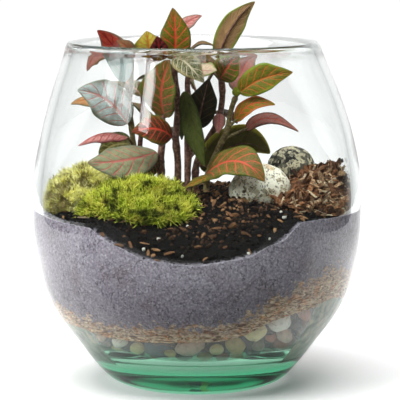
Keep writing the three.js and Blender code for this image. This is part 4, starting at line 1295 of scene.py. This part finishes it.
# %% The stones
def make_stone(node, name):
    stone = STONES[node]
    piece = new_from(bpy.ops.mesh.primitive_ico_sphere_add, name, subdivisions=6, radius=1)
    points = points_of(piece) * MM
    x, y, z = points.T
    phase = stone["phase"]
    wave = np.sin(2.3 * x + phase) * np.cos(1.9 * y - phase) + 0.5 * np.sin(3.1 * z + 2 * phase)
    points = points * (1 + stone["lumps"] * wave)[:, None] * np.array(stone["radii"])
    cos, sin = math.cos(stone["tilt"]), math.sin(stone["tilt"])
    points = points @ np.array([[1, 0, 0], [0, cos, -sin], [0, sin, cos]]).T
    cos, sin = math.cos(stone["turn"]), math.sin(stone["turn"])
    points = points @ np.array([[cos, -sin, 0], [sin, cos, 0], [0, 0, 1]]).T
    points += unit(points) * (0.35 * waves(points, 5.0, 2.0) + 0.12 * waves(points, 1.2, 4.0) - 0.1)[:, None]
    put_points(piece, points + np.array(stone["centre"]))
    smooth(piece)
    return piece


def granite_finish(name, pale, middle, dark, stain, dark_share):
    granite = Finish(name)
    share = granite.chance(1.7) * 0.6 + granite.grain(7.0, 4.0, 0.6) * 0.7
    base = granite.ramp(share, (dark_share - 0.2, dark), (dark_share, middle), (dark_share + 0.16, pale))
    flecked = granite.mix((granite.chance(0.6) > 0.86) * 0.75, base, paint(42, 38, 34))
    stained = granite.mix(granite.grain(11.0, 3.0, 0.5).fade(0.56, 0.72) * 0.6, flecked, stain)
    relief = granite.bump(granite.grain(0.8, 4.0), 0.2, 0.6)
    skin = granite.skin(Base_Color=stained, Roughness=0.6, Specular_IOR_Level=0.3, Normal=relief)
    return granite.show(skin)


GRANITES = {
    "stone_back": (
        "grey", paint(206, 198, 166), paint(104, 102, 90), paint(34, 33, 30), paint(128, 120, 92), 0.64,
    ),
    "stone_front": (
        "cream", paint(255, 252, 232), paint(206, 196, 164), paint(78, 68, 48), paint(206, 168, 108), 0.42,
    ),
}  # the tone, the pale, middle, dark and stained paints, and how much of the stone is dark

for node, (tone, *paints) in GRANITES.items():
    granite = granite_finish(f"{tone}_granite", *paints)
    settle(make_stone(node, f"{tone}_stone"), node, f"{tone}_granite", granite)

# %% [markdown]
# ## Leaves of the nerve plant
#
# A Fittonia leaf is oval with a short point, and a net of coloured veins runs over it. One flat leaf is
# modelled: a grid whose rows are drawn in to the leaf's outline. Each real leaf is then a copy laid along
# its own curved rib, folded along the midrib and quilted between the veins, with a wave along its edge.
# Solidify gives it a thickness, and the underside gets a material of its own.

# %% One flat leaf
LEAF_ROWS = 34
LEAF_COLUMNS = 14
SIDE_VEINS = 6.5  # pairs along a leaf
VEIN_SLANT = 0.24  # how far a side vein runs forward from the midrib to the edge, as a share of the length
LEAF_THICK = 0.4
SLIGHT_FOLD = 0.15
STALK_END = 0.05
FULLNESS = 2.16  # brings the widest half of the outline to 1
STALK_POWER = 0.5  # how round the outline is at the stalk,
POINT_POWER = 0.62  # and at the point
TIP_START = 0.62  # from here the outline is drawn in to a point
TIP_DRAWN = 0.5
BULGE = 0.028  # these heights are shares of a leaf's half width
GROOVE = 0.05
EDGE_WAVE = 0.055
ARCH = 0.1


def leaf_half(t):
    """Half the width of a leaf, from its stalk at 0 to its point at 1, as a share of the widest half."""
    point = np.clip((np.asarray(t) - TIP_START) / (1 - TIP_START), 0, 1)
    return FULLNESS * t**STALK_POWER * (1 - t) ** POINT_POWER * (1 - TIP_DRAWN * point)


def flat_leaf():
    """Each point's share along the leaf and its share across it, and the faces."""
    grid = {"x_subdivisions": LEAF_ROWS, "y_subdivisions": LEAF_COLUMNS, "size": 2}
    leaf = new_from(bpy.ops.mesh.primitive_grid_add, "flat_leaf", **grid)
    points = points_of(leaf) * MM
    share = (points[:, 0] + 1) / 2
    t = np.clip((1 - np.cos(np.pi * share)) / 2, 0.0008, 0.9992)
    faces = np.array([list(face.vertices) for face in leaf.data.polygons])
    bpy.data.objects.remove(leaf)
    return t, points[:, 1], faces


FLAT_T, FLAT_ACROSS, FLAT_FACES = flat_leaf()
print("one leaf has", len(FLAT_FACES), "faces")

# %% [markdown]
# ### Colours of the leaves
#
# Each leaf has four colours: the veins, the blade between them, its margin and its underside. Young leaves
# are coral and pink, older ones green with pink or orange veins, and leaves that lie in shade are painted
# nearly black, as painted shade.

# %% Leaf colours
# the black and shade paints are painted shade, for leaves and undersides that lie in shadow
LEAF_PAINTS = {
    "bright": paint(238, 84, 58), "coral": paint(220, 92, 70), "red": paint(176, 40, 40),
    "rose": paint(206, 112, 104), "pink": paint(216, 150, 142), "blush": paint(190, 138, 124),
    "cream": paint(230, 220, 186), "tan": paint(186, 150, 104), "orange": paint(214, 118, 48),
    "yellow": paint(206, 200, 76), "lime": paint(128, 162, 34), "green": paint(84, 110, 34),
    "leafy": paint(104, 122, 18), "sage": paint(98, 110, 40), "olive": paint(100, 96, 38),
    "moss": paint(66, 80, 30), "fern": paint(92, 102, 48), "dusty": paint(118, 130, 106),
    "grey": paint(146, 152, 126), "umber": paint(76, 64, 34), "dark": paint(38, 44, 22),
    "maroon": paint(84, 26, 26), "black": paint(24, 20, 13), "straw": paint(164, 150, 92),
    "mist": paint(206, 228, 226), "haze": paint(152, 168, 128), "wheat": paint(240, 238, 176),
    "shade": paint(44, 38, 14), "khaki": paint(84, 92, 42),
}

# %% [markdown]
# ### Stems
#
# Each stem has its root, radius, tone and path. A row for each leaf says where it grows on its stem, the
# base, bend and tip of its rib, its width, where its upper side looks, its colours (veins, blade, margin,
# underside and, on one leaf, the pale end at the stalk) and its fold. The ribs are those of the solids.


# %% The stems and their leaves
def leaf_at(grows, base, bend, tip, width, face, looks, fold=SLIGHT_FOLD):
    return {
        "grows": grows, "rib": (base, bend, tip), "width": width, "face": face,
        "looks": looks.split(), "fold": fold,
    }


def stem_at(root, radius, tone, path, *leaves):
    return {"root": root, "radius": radius, "tone": tone, "path": path, "leaves": leaves}


STEMS = [
    stem_at(
        (-33, 4), 1.5, "olive", [(-33, 4, 119), (-34, 3, 131), (-35, 2, 144), (-34, 1, 157), (-34, 1, 166)],
        leaf_at(0.78, (-38, -3, 156), (-41.5, -6, 172), (-51, -9, 183), 14, (-0.25, -1, 0.25),
                "red coral dusty rose mist"),
        leaf_at(0.99, (-33, -7, 168.5), (-35.5, -10, 174), (-41, -12, 178), 8, (0.2, -1, 0.4),
                "coral tan dusty tan"),
        leaf_at(0.95, (-41, 8, 168), (-52, 14, 168), (-58.5, 16, 160.5), 10, (-0.2, -0.8, 0.6),
                "red blush olive tan"),
        leaf_at(0.58, (-36, -2, 134), (-47, -6, 147), (-61, -9, 152), 21, (0.1, -1, 0.35),
                "pink mist dusty grey"),
        leaf_at(0.58, (-37, 5, 141), (-52, 10, 145), (-67, 12, 143), 12, (-0.1, -0.6, 0.8),
                "orange tan moss olive"),
        leaf_at(0.46, (-36, -1, 126.5), (-48, -4, 129.5), (-61, -8, 123), 10, (0, -0.35, 1),
                "red pink maroon olive", -0.6),
        leaf_at(0.38, (-35, 7, 122), (-44, 12, 121), (-52, 15, 115), 14, (0, -1, 0.4),
                "straw olive moss olive"),
    ),
    stem_at(
        (-30, 10), 1.4, "maroon",
        [(-30, 10, 120), (-29, 9, 131), (-28, 8, 146), (-26, 6, 158), (-25, 3, 166)],
        leaf_at(0.98, (-25, 0, 168), (-25, -1, 175), (-26, 1, 182), 14.5, (0, -1, 0.2),
                "orange yellow leafy lime"),
        # a leaf in shadow: its black blade is painted shade
        leaf_at(0.97, (-20.5, -5, 165.5), (-19.5, -8.5, 173), (-20.5, -8, 180), 10, (0.1, -1, 0.15),
                "red black maroon maroon"),
        leaf_at(0.72, (-29, 12, 147), (-38, 23, 154), (-47, 34, 151), 15, (-0.3, 0.3, 1),
                "pink green moss olive"),
    ),
    stem_at(
        (-18.5, -1), 2.1, "maroon", [(-19, -1, 113), (-18, -1, 124), (-17, -2, 134)],
        leaf_at(0.99, (-17, -2, 138), (-18, -8, 152.5), (-14, -9, 166.5), 24, (-0.62, -0.78, 0.1),
                "coral sage green olive", 0.35),
        leaf_at(0.6, (-21, -4, 119), (-38, -17, 116), (-55, -24, 116), 20, (0.15, -0.8, 0.6),
                "rose haze dusty olive", -0.1),
        leaf_at(0.52, (-20, -4, 115), (-25, -7, 111), (-29, -9, 105.5), 10, (0.4, -0.8, 0.3),
                "rose moss dark olive"),
    ),
    stem_at(
        (-10, 2), 1.9, "maroon",
        [(-10, 2, 113), (-11, 0, 126), (-10, 0, 141), (-11, -1, 154), (-12, -2, 164)],
        leaf_at(0.52, (-13, -8, 127.5), (-21, -18, 133), (-33, -21.5, 131.5), 16, (0.05, -0.9, 0.45),
                "bright umber green olive", -0.1),
        leaf_at(0.99, (-12, -2, 166), (-11, -4, 179), (-12.5, 0, 194), 16, (0, -1, 0.1),
                "bright leafy green tan"),
        leaf_at(0.97, (-13, 4, 177), (-5.5, 8, 185.5), (2.5, 10, 189.5), 8, (-0.3, -0.8, 0.5),
                "rose pink dusty blush"),
        leaf_at(0.99, (-11.5, -12, 168.2), (-4.5, -18, 165), (3.5, -21, 157), 13, (0.1, -0.8, 0.6),
                "cream khaki straw olive"),
        leaf_at(0.82, (-13, 3, 151), (-22, 13, 158), (-32, 20, 155), 13, (-0.3, 0.2, 1),
                "pink green dark olive"),
    ),
    stem_at(
        (-5, 1), 1.7, "maroon", [(-5, 1, 115), (-5, 2, 128), (-4, 4, 141), (-5, 4, 154), (-4, 2, 163)],
        leaf_at(0.78, (-6.5, -3, 151), (-2, -6, 131), (4, -7, 111), 11.5, (-0.5, -0.85, 0.1),
                "sage fern moss sage"),
        leaf_at(0.75, (-6, 6, 146), (-7.5, 9, 137), (-8, 11, 124), 9, (-0.6, -0.8, 0),
                "olive moss dark moss"),
        leaf_at(0.97, (-2, -1, 162), (4, -7, 161.5), (10, -12, 162), 11, (0, -0.6, 0.8),
                "pink cream lime blush"),
        leaf_at(0.99, (-5, 3, 170.5), (1.5, 2.5, 175.5), (8.5, 1.5, 174.5), 8, (-0.2, -0.15, 1),
                "rose sage dark moss"),
        # a leaf that faces away in shadow, painted dark: painted shade
        leaf_at(0.6, (0, 4, 131), (3, 2, 144), (6, 4, 157), 15, (0.2, 1, 0.2), "umber shade dark shade"),
    ),
    stem_at(
        (-1, 6), 1.8, "maroon",
        [(0, 7, 112), (5, 9, 123), (11, 9, 134), (13, 8, 144), (13, 6, 153), (11, 4, 165)],
        leaf_at(0.99, (11, 4, 167), (18, 4, 184), (30, 7, 197), 12.5, (0.1, 0.95, 0.2), "tan tan lime wheat"),
        leaf_at(0.85, (12, 3, 157), (16, -2, 163), (22, -4, 169), 14, (0.1, -0.9, 0.4),
                "coral green lime olive"),
        leaf_at(0.88, (8, 8, 160), (2, 11, 165), (-5, 14, 167), 12, (0, -0.7, 0.7),
                "orange moss green olive"),
        leaf_at(0.62, (11.5, 7, 138), (11.5, 5.5, 134), (11, 3, 128), 7, (-0.2, -0.8, 0.5),
                "rose pink green blush"),
        # this leaf shows its underside: the black underside is painted shade, and the yellow margin a painted
        # rim of back light
        leaf_at(0.3, (3, 9, 107), (21, 13, 122), (38.5, 13, 116), 24, (-0.2, 0.8, 0.5),
                "olive olive yellow black", 0.2),
    ),
    stem_at(
        (5, 1.5), 1.6, "olive", [(7, 3, 110), (11, 3, 120), (15.5, 1, 130), (17.5, 0, 140), (20, -2, 148)],
        leaf_at(0.99, (22, -3, 150), (33, -6, 157.5), (49, -5, 161), 14.5, (-0.1, -0.95, 0.3),
                "orange leafy lime olive"),
        leaf_at(0.98, (20.5, 1, 151), (24, 8, 161), (31.5, 12, 168.5), 13, (-0.3, -0.85, 0.3),
                "rose blush dusty blush"),
        leaf_at(0.72, (20, -1, 135), (28, -5, 144), (40, -8, 144), 10, (-0.1, -0.7, 0.7),
                "bright leafy orange blush"),
        leaf_at(0.62, (26, 2, 130), (37, 4, 136), (53, 6, 129), 10, (0, -0.5, 0.85), "coral blush dark pink"),
        leaf_at(0.995, (20, -3, 148.5), (20, -4, 151), (19.5, -4, 153.5), 4, (0, -1, 0.2),
                "yellow lime lime lime"),
        leaf_at(0.22, (5, -3, 107), (20, -20, 116), (34, -28, 107), 22, (0.1, -0.75, 0.65),
                "coral sage green olive"),
        leaf_at(0.26, (7, -1, 106), (2, -13, 105.5), (-7, -21, 102.5), 7, (0, -0.3, 1),
                "orange green moss olive"),
    ),
    stem_at(
        (-5, 22), 1.6, "maroon", [(-4, 24, 114), (-1, 27, 131), (1, 29, 146)],
        leaf_at(0.99, (3, 31, 148), (9, 37, 158), (17, 42, 160), 14, (-0.2, 0.4, 1), "pink green moss olive"),
        leaf_at(0.98, (-1, 31, 149), (-7, 38, 158), (-14, 44, 157), 14, (0.2, 0.4, 1),
                "coral green moss olive"),
        leaf_at(0.7, (2, 29, 133), (12, 38, 136), (22, 48, 129), 15, (0.1, 0.3, 1), "rose moss dark olive"),
        leaf_at(0.66, (-4, 29, 126), (-9, 40, 127), (-13, 51, 119), 13, (-0.1, 0.3, 1),
                "pink green moss olive"),
        leaf_at(0.42, (-2, 27, 114), (4, 38, 116), (7, 50, 108), 14, (0, 0.4, 1), "coral moss dark olive"),
    ),
    stem_at(
        (-18.5, 25), 1.5, "maroon", [(-19, 27, 114), (-20, 30, 130)],
        leaf_at(0.99, (-24, 32, 132), (-34, 37, 140), (-46, 41, 140), 14, (-0.3, 0.2, 1),
                "rose green moss olive"),
        leaf_at(0.98, (-19, 33, 133), (-18, 40, 141), (-20, 48, 144), 13, (0, -0.2, 1),
                "coral green moss olive"),
        leaf_at(0.55, (-23, 29, 114), (-35, 34, 116), (-49, 37, 109), 15, (-0.2, 0.2, 1),
                "pink moss dark olive"),
    ),
]
print("leaves:", sum(len(stem["leaves"]) for stem in STEMS))

# %% [markdown]
# ### Laying a leaf along its rib
#
# The rib is a curve through three points. At each point of it, one direction runs across the leaf and
# one stands up from it, so a flat leaf can be laid along the rib point by point.

# %% Leaves and stalks
ROOTED = 12  # how deep a stem stands in its hole
TAPER = 0.22  # how much thinner a stem gets to its top
JOINT_SWELL = 0.22  # how much thicker it is where a leaf grows
JOINT_LENGTH = 0.025  # as a share of the stem
TOP_SHARE = 0.75  # how much of its radius is left at the very top
STEM_STEPS = 8
STALK_STEPS = 9
STALK_TAPER = 0.62
STALK_RISE = 0.08  # how high a stalk arches, as a share of its length
RIB_STEPS = 12
RIB_END = 0.9  # as a share of the leaf's length
RIB_SINK = 0.055  # how deep the rib lies below the blade, as a share of its half width,
RIB_CLEAR = 0.25  # and in millimetres on top of that
RIB_THIN = 0.12
ROLES = ("veins", "blade", "margin", "under")
PALE_END = (0.3, 0.35)  # where a second blade colour gives way to the first, and over what share


def on_rib(rib, t):
    """Points on the rib and the directions in which it runs there."""
    base, bend, tip = (np.array(point, dtype=float) for point in rib)
    control = 2 * bend - (base + tip) / 2
    t = np.asarray(t, dtype=float)[:, None]
    point = (1 - t) ** 2 * base + 2 * t * (1 - t) * control + t**2 * tip
    return point, unit(2 * (1 - t) * (control - base) + 2 * t * (tip - control))


def vein_phase(t, across):
    """Counts the side veins along a leaf: a whole number on each vein."""
    return SIDE_VEINS * (t - VEIN_SLANT * np.abs(across) ** 0.9)


def laid_leaf(data, seed):
    """The points of one leaf in place."""
    rng = random.Random(seed)
    t, across = FLAT_T, FLAT_ACROSS
    half = data["width"] / 2
    point, along = on_rib(data["rib"], t)
    side = unit(np.cross(np.array(data["face"], dtype=float), along))
    up = np.cross(along, side)
    reach = half * leaf_half(t)
    quilt = 0.5 - 0.5 * np.cos(2 * np.pi * vein_phase(t, across))
    bulge = BULGE * half * quilt * np.sqrt(np.abs(across)) * (1 - across**2)
    groove = -GROOVE * half * np.exp(-((across * 7) ** 2))
    turns = 2 * np.pi * (rng.uniform(1.6, 2.6) * t + rng.random())
    wave = EDGE_WAVE * half * np.abs(across) ** 3 * np.sin(turns)
    arch = -ARCH * across**2 * reach
    fold = data["fold"] * reach * np.sqrt(across**2 + 0.006)
    rise = fold + arch + (bulge + groove + wave) * np.minimum(1, 6 * t * (1 - t))
    return point + side * (across * reach)[:, None] + up * rise[:, None]


def blade_colours(data, place):
    """The colour of each point of one leaf, for its veins, blade, margin or underside."""
    colour = np.array(LEAF_PAINTS[data["looks"][place]])
    if len(data["looks"]) > len(ROLES) and ROLES[place] != "under":
        start, over = PALE_END
        share = np.clip((FLAT_T - start) / over, 0, 1)[:, None]
        return share * colour + (1 - share) * np.array(LEAF_PAINTS[data["looks"][-1]])
    return np.tile(colour, (len(FLAT_T), 1))


def leaf_sheet(name, leaves, seed):
    """All the leaves of a stem as thin closed blades."""
    points = np.vstack([laid_leaf(data, seed + i) for i, data in enumerate(leaves)])
    each = len(FLAT_T)
    faces = (FLAT_FACES[None] + each * np.arange(len(leaves))[:, None, None]).reshape(-1, 4)
    sheet = mesh_of(name, points, faces)
    mesh = sheet.data
    corners = faces.ravel() % each
    layer = mesh.uv_layers.new(name="UVMap")
    layer.data.foreach_set("uv", np.stack([FLAT_T[corners], (FLAT_ACROSS[corners] + 1) / 2], axis=1).ravel())
    for place, role in enumerate(ROLES):
        colours = np.vstack([blade_colours(data, place) for data in leaves])
        mesh.color_attributes.new(role, "FLOAT_COLOR", "POINT").data.foreach_set("color", colours.ravel())
    lengths = [np.linalg.norm(np.subtract(data["rib"][2], data["rib"][0])) for data in leaves]
    store(sheet, "long", np.repeat(lengths, each))
    store(sheet, "wide", np.repeat([data["width"] for data in leaves], each))
    modify(sheet, "SOLIDIFY", thickness=LEAF_THICK * MM, offset=0, material_offset=1, material_offset_rim=0)
    edit(sheet, (bpy.ops.mesh.remove_doubles, {"threshold": 0.03 * MM}))
    smooth(sheet)
    return sheet


def wire_curve(name, lines):
    """Round wires along lines of (point, radius), closed at their ends, as one mesh."""
    curve = bpy.data.curves.new(name, "CURVE")
    curve.dimensions = "3D"
    curve.bevel_depth = MM
    curve.bevel_resolution = 2
    curve.use_fill_caps = True
    for points, radii in lines:
        spline = curve.splines.new("POLY")
        spline.points.add(len(points) - 1)
        for spot, point, radius in zip(spline.points, points, radii):
            spot.co = (*(np.array(point) * MM), 1)
            spot.radius = radius
    piece = bpy.data.objects.new(name, curve)
    bpy.context.scene.collection.objects.link(piece)
    select_only(piece)
    bpy.ops.object.convert(target="MESH")
    edit(piece, (bpy.ops.mesh.normals_make_consistent, {"inside": False}))
    smooth(piece)
    return piece


def at_share(line, share):
    """The point at a share of a line's length."""
    lengths = np.concatenate([[0], np.cumsum(np.linalg.norm(np.diff(line, axis=0), axis=1))])
    return np.array([np.interp(share * lengths[-1], lengths, line[:, axis]) for axis in range(3)])


def stem_wires(name, stem, level):
    x, y = stem["root"]
    path = [(x, y, level - ROOTED), (x, y, level + 0.5), (x, y, level + 5), *stem["path"]]
    line = smooth_line(path, STEM_STEPS)
    shares = np.linspace(0, 1, len(line))
    swell = sum(np.exp(-(((shares - data["grows"]) / JOINT_LENGTH) ** 2)) for data in stem["leaves"])
    radii = stem["radius"] * (1.04 - TAPER * shares) * (1 + JOINT_SWELL * np.minimum(swell, 1))
    radii[-1] *= TOP_SHARE
    lines = [(line, radii)]
    for data in stem["leaves"]:
        start = at_share(line, data["grows"])
        base = np.array(data["rib"][0], dtype=float)
        middle = (start + base) / 2 + np.array([0, 0, np.linalg.norm(base - start) * STALK_RISE])
        entry = on_rib(data["rib"], [STALK_END])[0][0]
        t = np.linspace(0, 1, STALK_STEPS)[:, None]
        stalk = (1 - t) ** 2 * start + 2 * t * (1 - t) * middle + t**2 * entry
        ribs, along = on_rib(data["rib"], np.linspace(STALK_END, RIB_END, RIB_STEPS))
        side = unit(np.cross(np.array(data["face"], dtype=float), along))
        below = ribs - np.cross(along, side) * (RIB_SINK * data["width"] / 2 + RIB_CLEAR)
        slim = min(0.95, 0.13 * data["width"])
        stalk_radii = np.linspace(slim, slim * STALK_TAPER, len(stalk))
        rib_radii = np.linspace(slim * STALK_TAPER, RIB_THIN, len(below))
        lines.append((np.vstack([stalk[:-1], below]), np.concatenate([stalk_radii[:-1], rib_radii])))
    return wire_curve(name, lines)


# %% [markdown]
# ### The look of a leaf
#
# The veins are sums on the leaf's own coordinates. The midrib is a thin line along the middle that tapers
# to the point. The side veins lie where a count along the leaf is whole, and a net of cells
# fills the fields between them.


# %% Leaf, underside and stem materials
TRANSLUCENT = 0.22  # the share of light that comes through a leaf
NET_SCALE = 0.62
SHADED_BLADE = paint(150, 140, 128)


def vein_masks(leaf):
    """How far each point is across the leaf, and where its ribs and the net between them lie."""
    spot = leaf.node("ShaderNodeUVMap", {"uv_map": "UVMap"})
    along = leaf.axis(spot, 0)
    across = abs(leaf.axis(spot, 1) * 2 - 1)
    drift = (leaf.grain(5.0, 2.0) - 0.5) * 0.09
    midrib = across.fade(0.03, 0.11, 1, 0) * along.fade(0.85, 1.0, 1, 0.2)
    count = (along - across**0.9 * VEIN_SLANT + drift * 0.6) * SIDE_VEINS
    nearest = abs(count.fraction() - 0.5)
    side = nearest.fade(0.4, 0.475) * across.fade(0.72, 0.98, 1, 0.15)
    long = leaf.value("long")
    wide = leaf.value("wide")
    flat = leaf.node("ShaderNodeCombineXYZ", None, {0: along * long, 1: across * wide * 0.62, 2: long})
    settings = {"feature": "DISTANCE_TO_EDGE"}
    net_edge = leaf.node("ShaderNodeTexVoronoi", settings, {"Vector": flat, "Scale": NET_SCALE})
    net = net_edge.fade(0.03, 0.1, 1, 0) * across.fade(0.8, 1.0, 0.85, 0.2)
    return across, side.larger(midrib), net


def thin_blade(leaf, colour, roughness, specular, relief):
    """A skin through which some of the light comes."""
    skin = leaf.skin(Base_Color=colour, Roughness=roughness, Specular_IOR_Level=specular, Normal=relief)
    through = leaf.node("ShaderNodeBsdfTranslucent", None, {"Color": colour, "Normal": relief})
    return leaf.show(leaf.node("ShaderNodeMixShader", None, {0: TRANSLUCENT, 1: skin, 2: through}))


def leaf_finish():
    leaf = Finish("nerve_leaf")
    across, ribs, net = vein_masks(leaf)
    veins, blade, margin = [leaf.value(role, give=0) for role in ROLES[:3]]
    mottle = leaf.grain(2.6, 4.0, 0.6)
    shaded = leaf.mix(mottle.fade(0.4, 0.7) * 0.45, blade, leaf.tinted(blade, SHADED_BLADE))
    edged = leaf.mix(across.fade(0.62, 0.95) * 0.85, shaded, margin)
    netted = leaf.mix(net * 0.5, edged, veins)
    ribbed = leaf.mix(ribs * 0.92, netted, veins)
    relief = leaf.bump((ribs + net * 0.5) * -1 + mottle * 0.35, 0.3, 0.7)
    return thin_blade(leaf, ribbed, mottle.fade(0.3, 0.7, 0.36, 0.52), 0.25, relief)


def underside_finish():
    leaf = Finish("nerve_leaf_underside")
    across, ribs, net = vein_masks(leaf)
    under = leaf.value("under", give=0)
    veins = leaf.mix(0.5, under, leaf.value("veins", give=0))
    edged = leaf.mix(across.fade(0.7, 0.97) * 0.7, under, leaf.value("margin", give=0))
    netted = leaf.mix(net * 0.35, edged, veins)
    ribbed = leaf.mix(ribs * 0.7, netted, veins)
    return thin_blade(leaf, ribbed, 0.55, DULL, leaf.bump(ribs + net * 0.4, 0.35, 0.8))


STREAK_SIZE = 1 / 0.7
STEM_TONES = {
    "maroon": (paint(92, 58, 48), paint(150, 112, 96)),
    "olive": (paint(98, 84, 46), paint(150, 138, 90)),
}


def stem_finish(tone):
    dark, pale = STEM_TONES[tone]
    stem = Finish(f"{tone}_stem")
    streak = stem.grain(STREAK_SIZE, 5.0, 0.5)
    colour = stem.mix(streak.fade(0.4, 0.68), dark, pale)
    relief = stem.bump(streak, 0.25, 0.7)
    return stem.show(stem.skin(Base_Color=colour, Roughness=0.5, Normal=relief))


LEAF_SKINS = [leaf_finish(), underside_finish()]
STEM_SKINS = {tone: stem_finish(tone) for tone in STEM_TONES}

for number, stem in enumerate(STEMS, 1):
    node = f"fittonia_stem_{number}"
    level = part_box(node)[0].z / MM + ROOTED
    sheet = leaf_sheet(f"leaves_{number}", stem["leaves"], 100 * number)
    wires = stem_wires(f"wires_{number}", stem, level)
    for skin in LEAF_SKINS:
        sheet.data.materials.append(skin)
    wires.data.materials.append(STEM_SKINS[stem["tone"]])
    settle(joined(f"leafy_stem_{number}", sheet, wires), node, "nerve_plant")
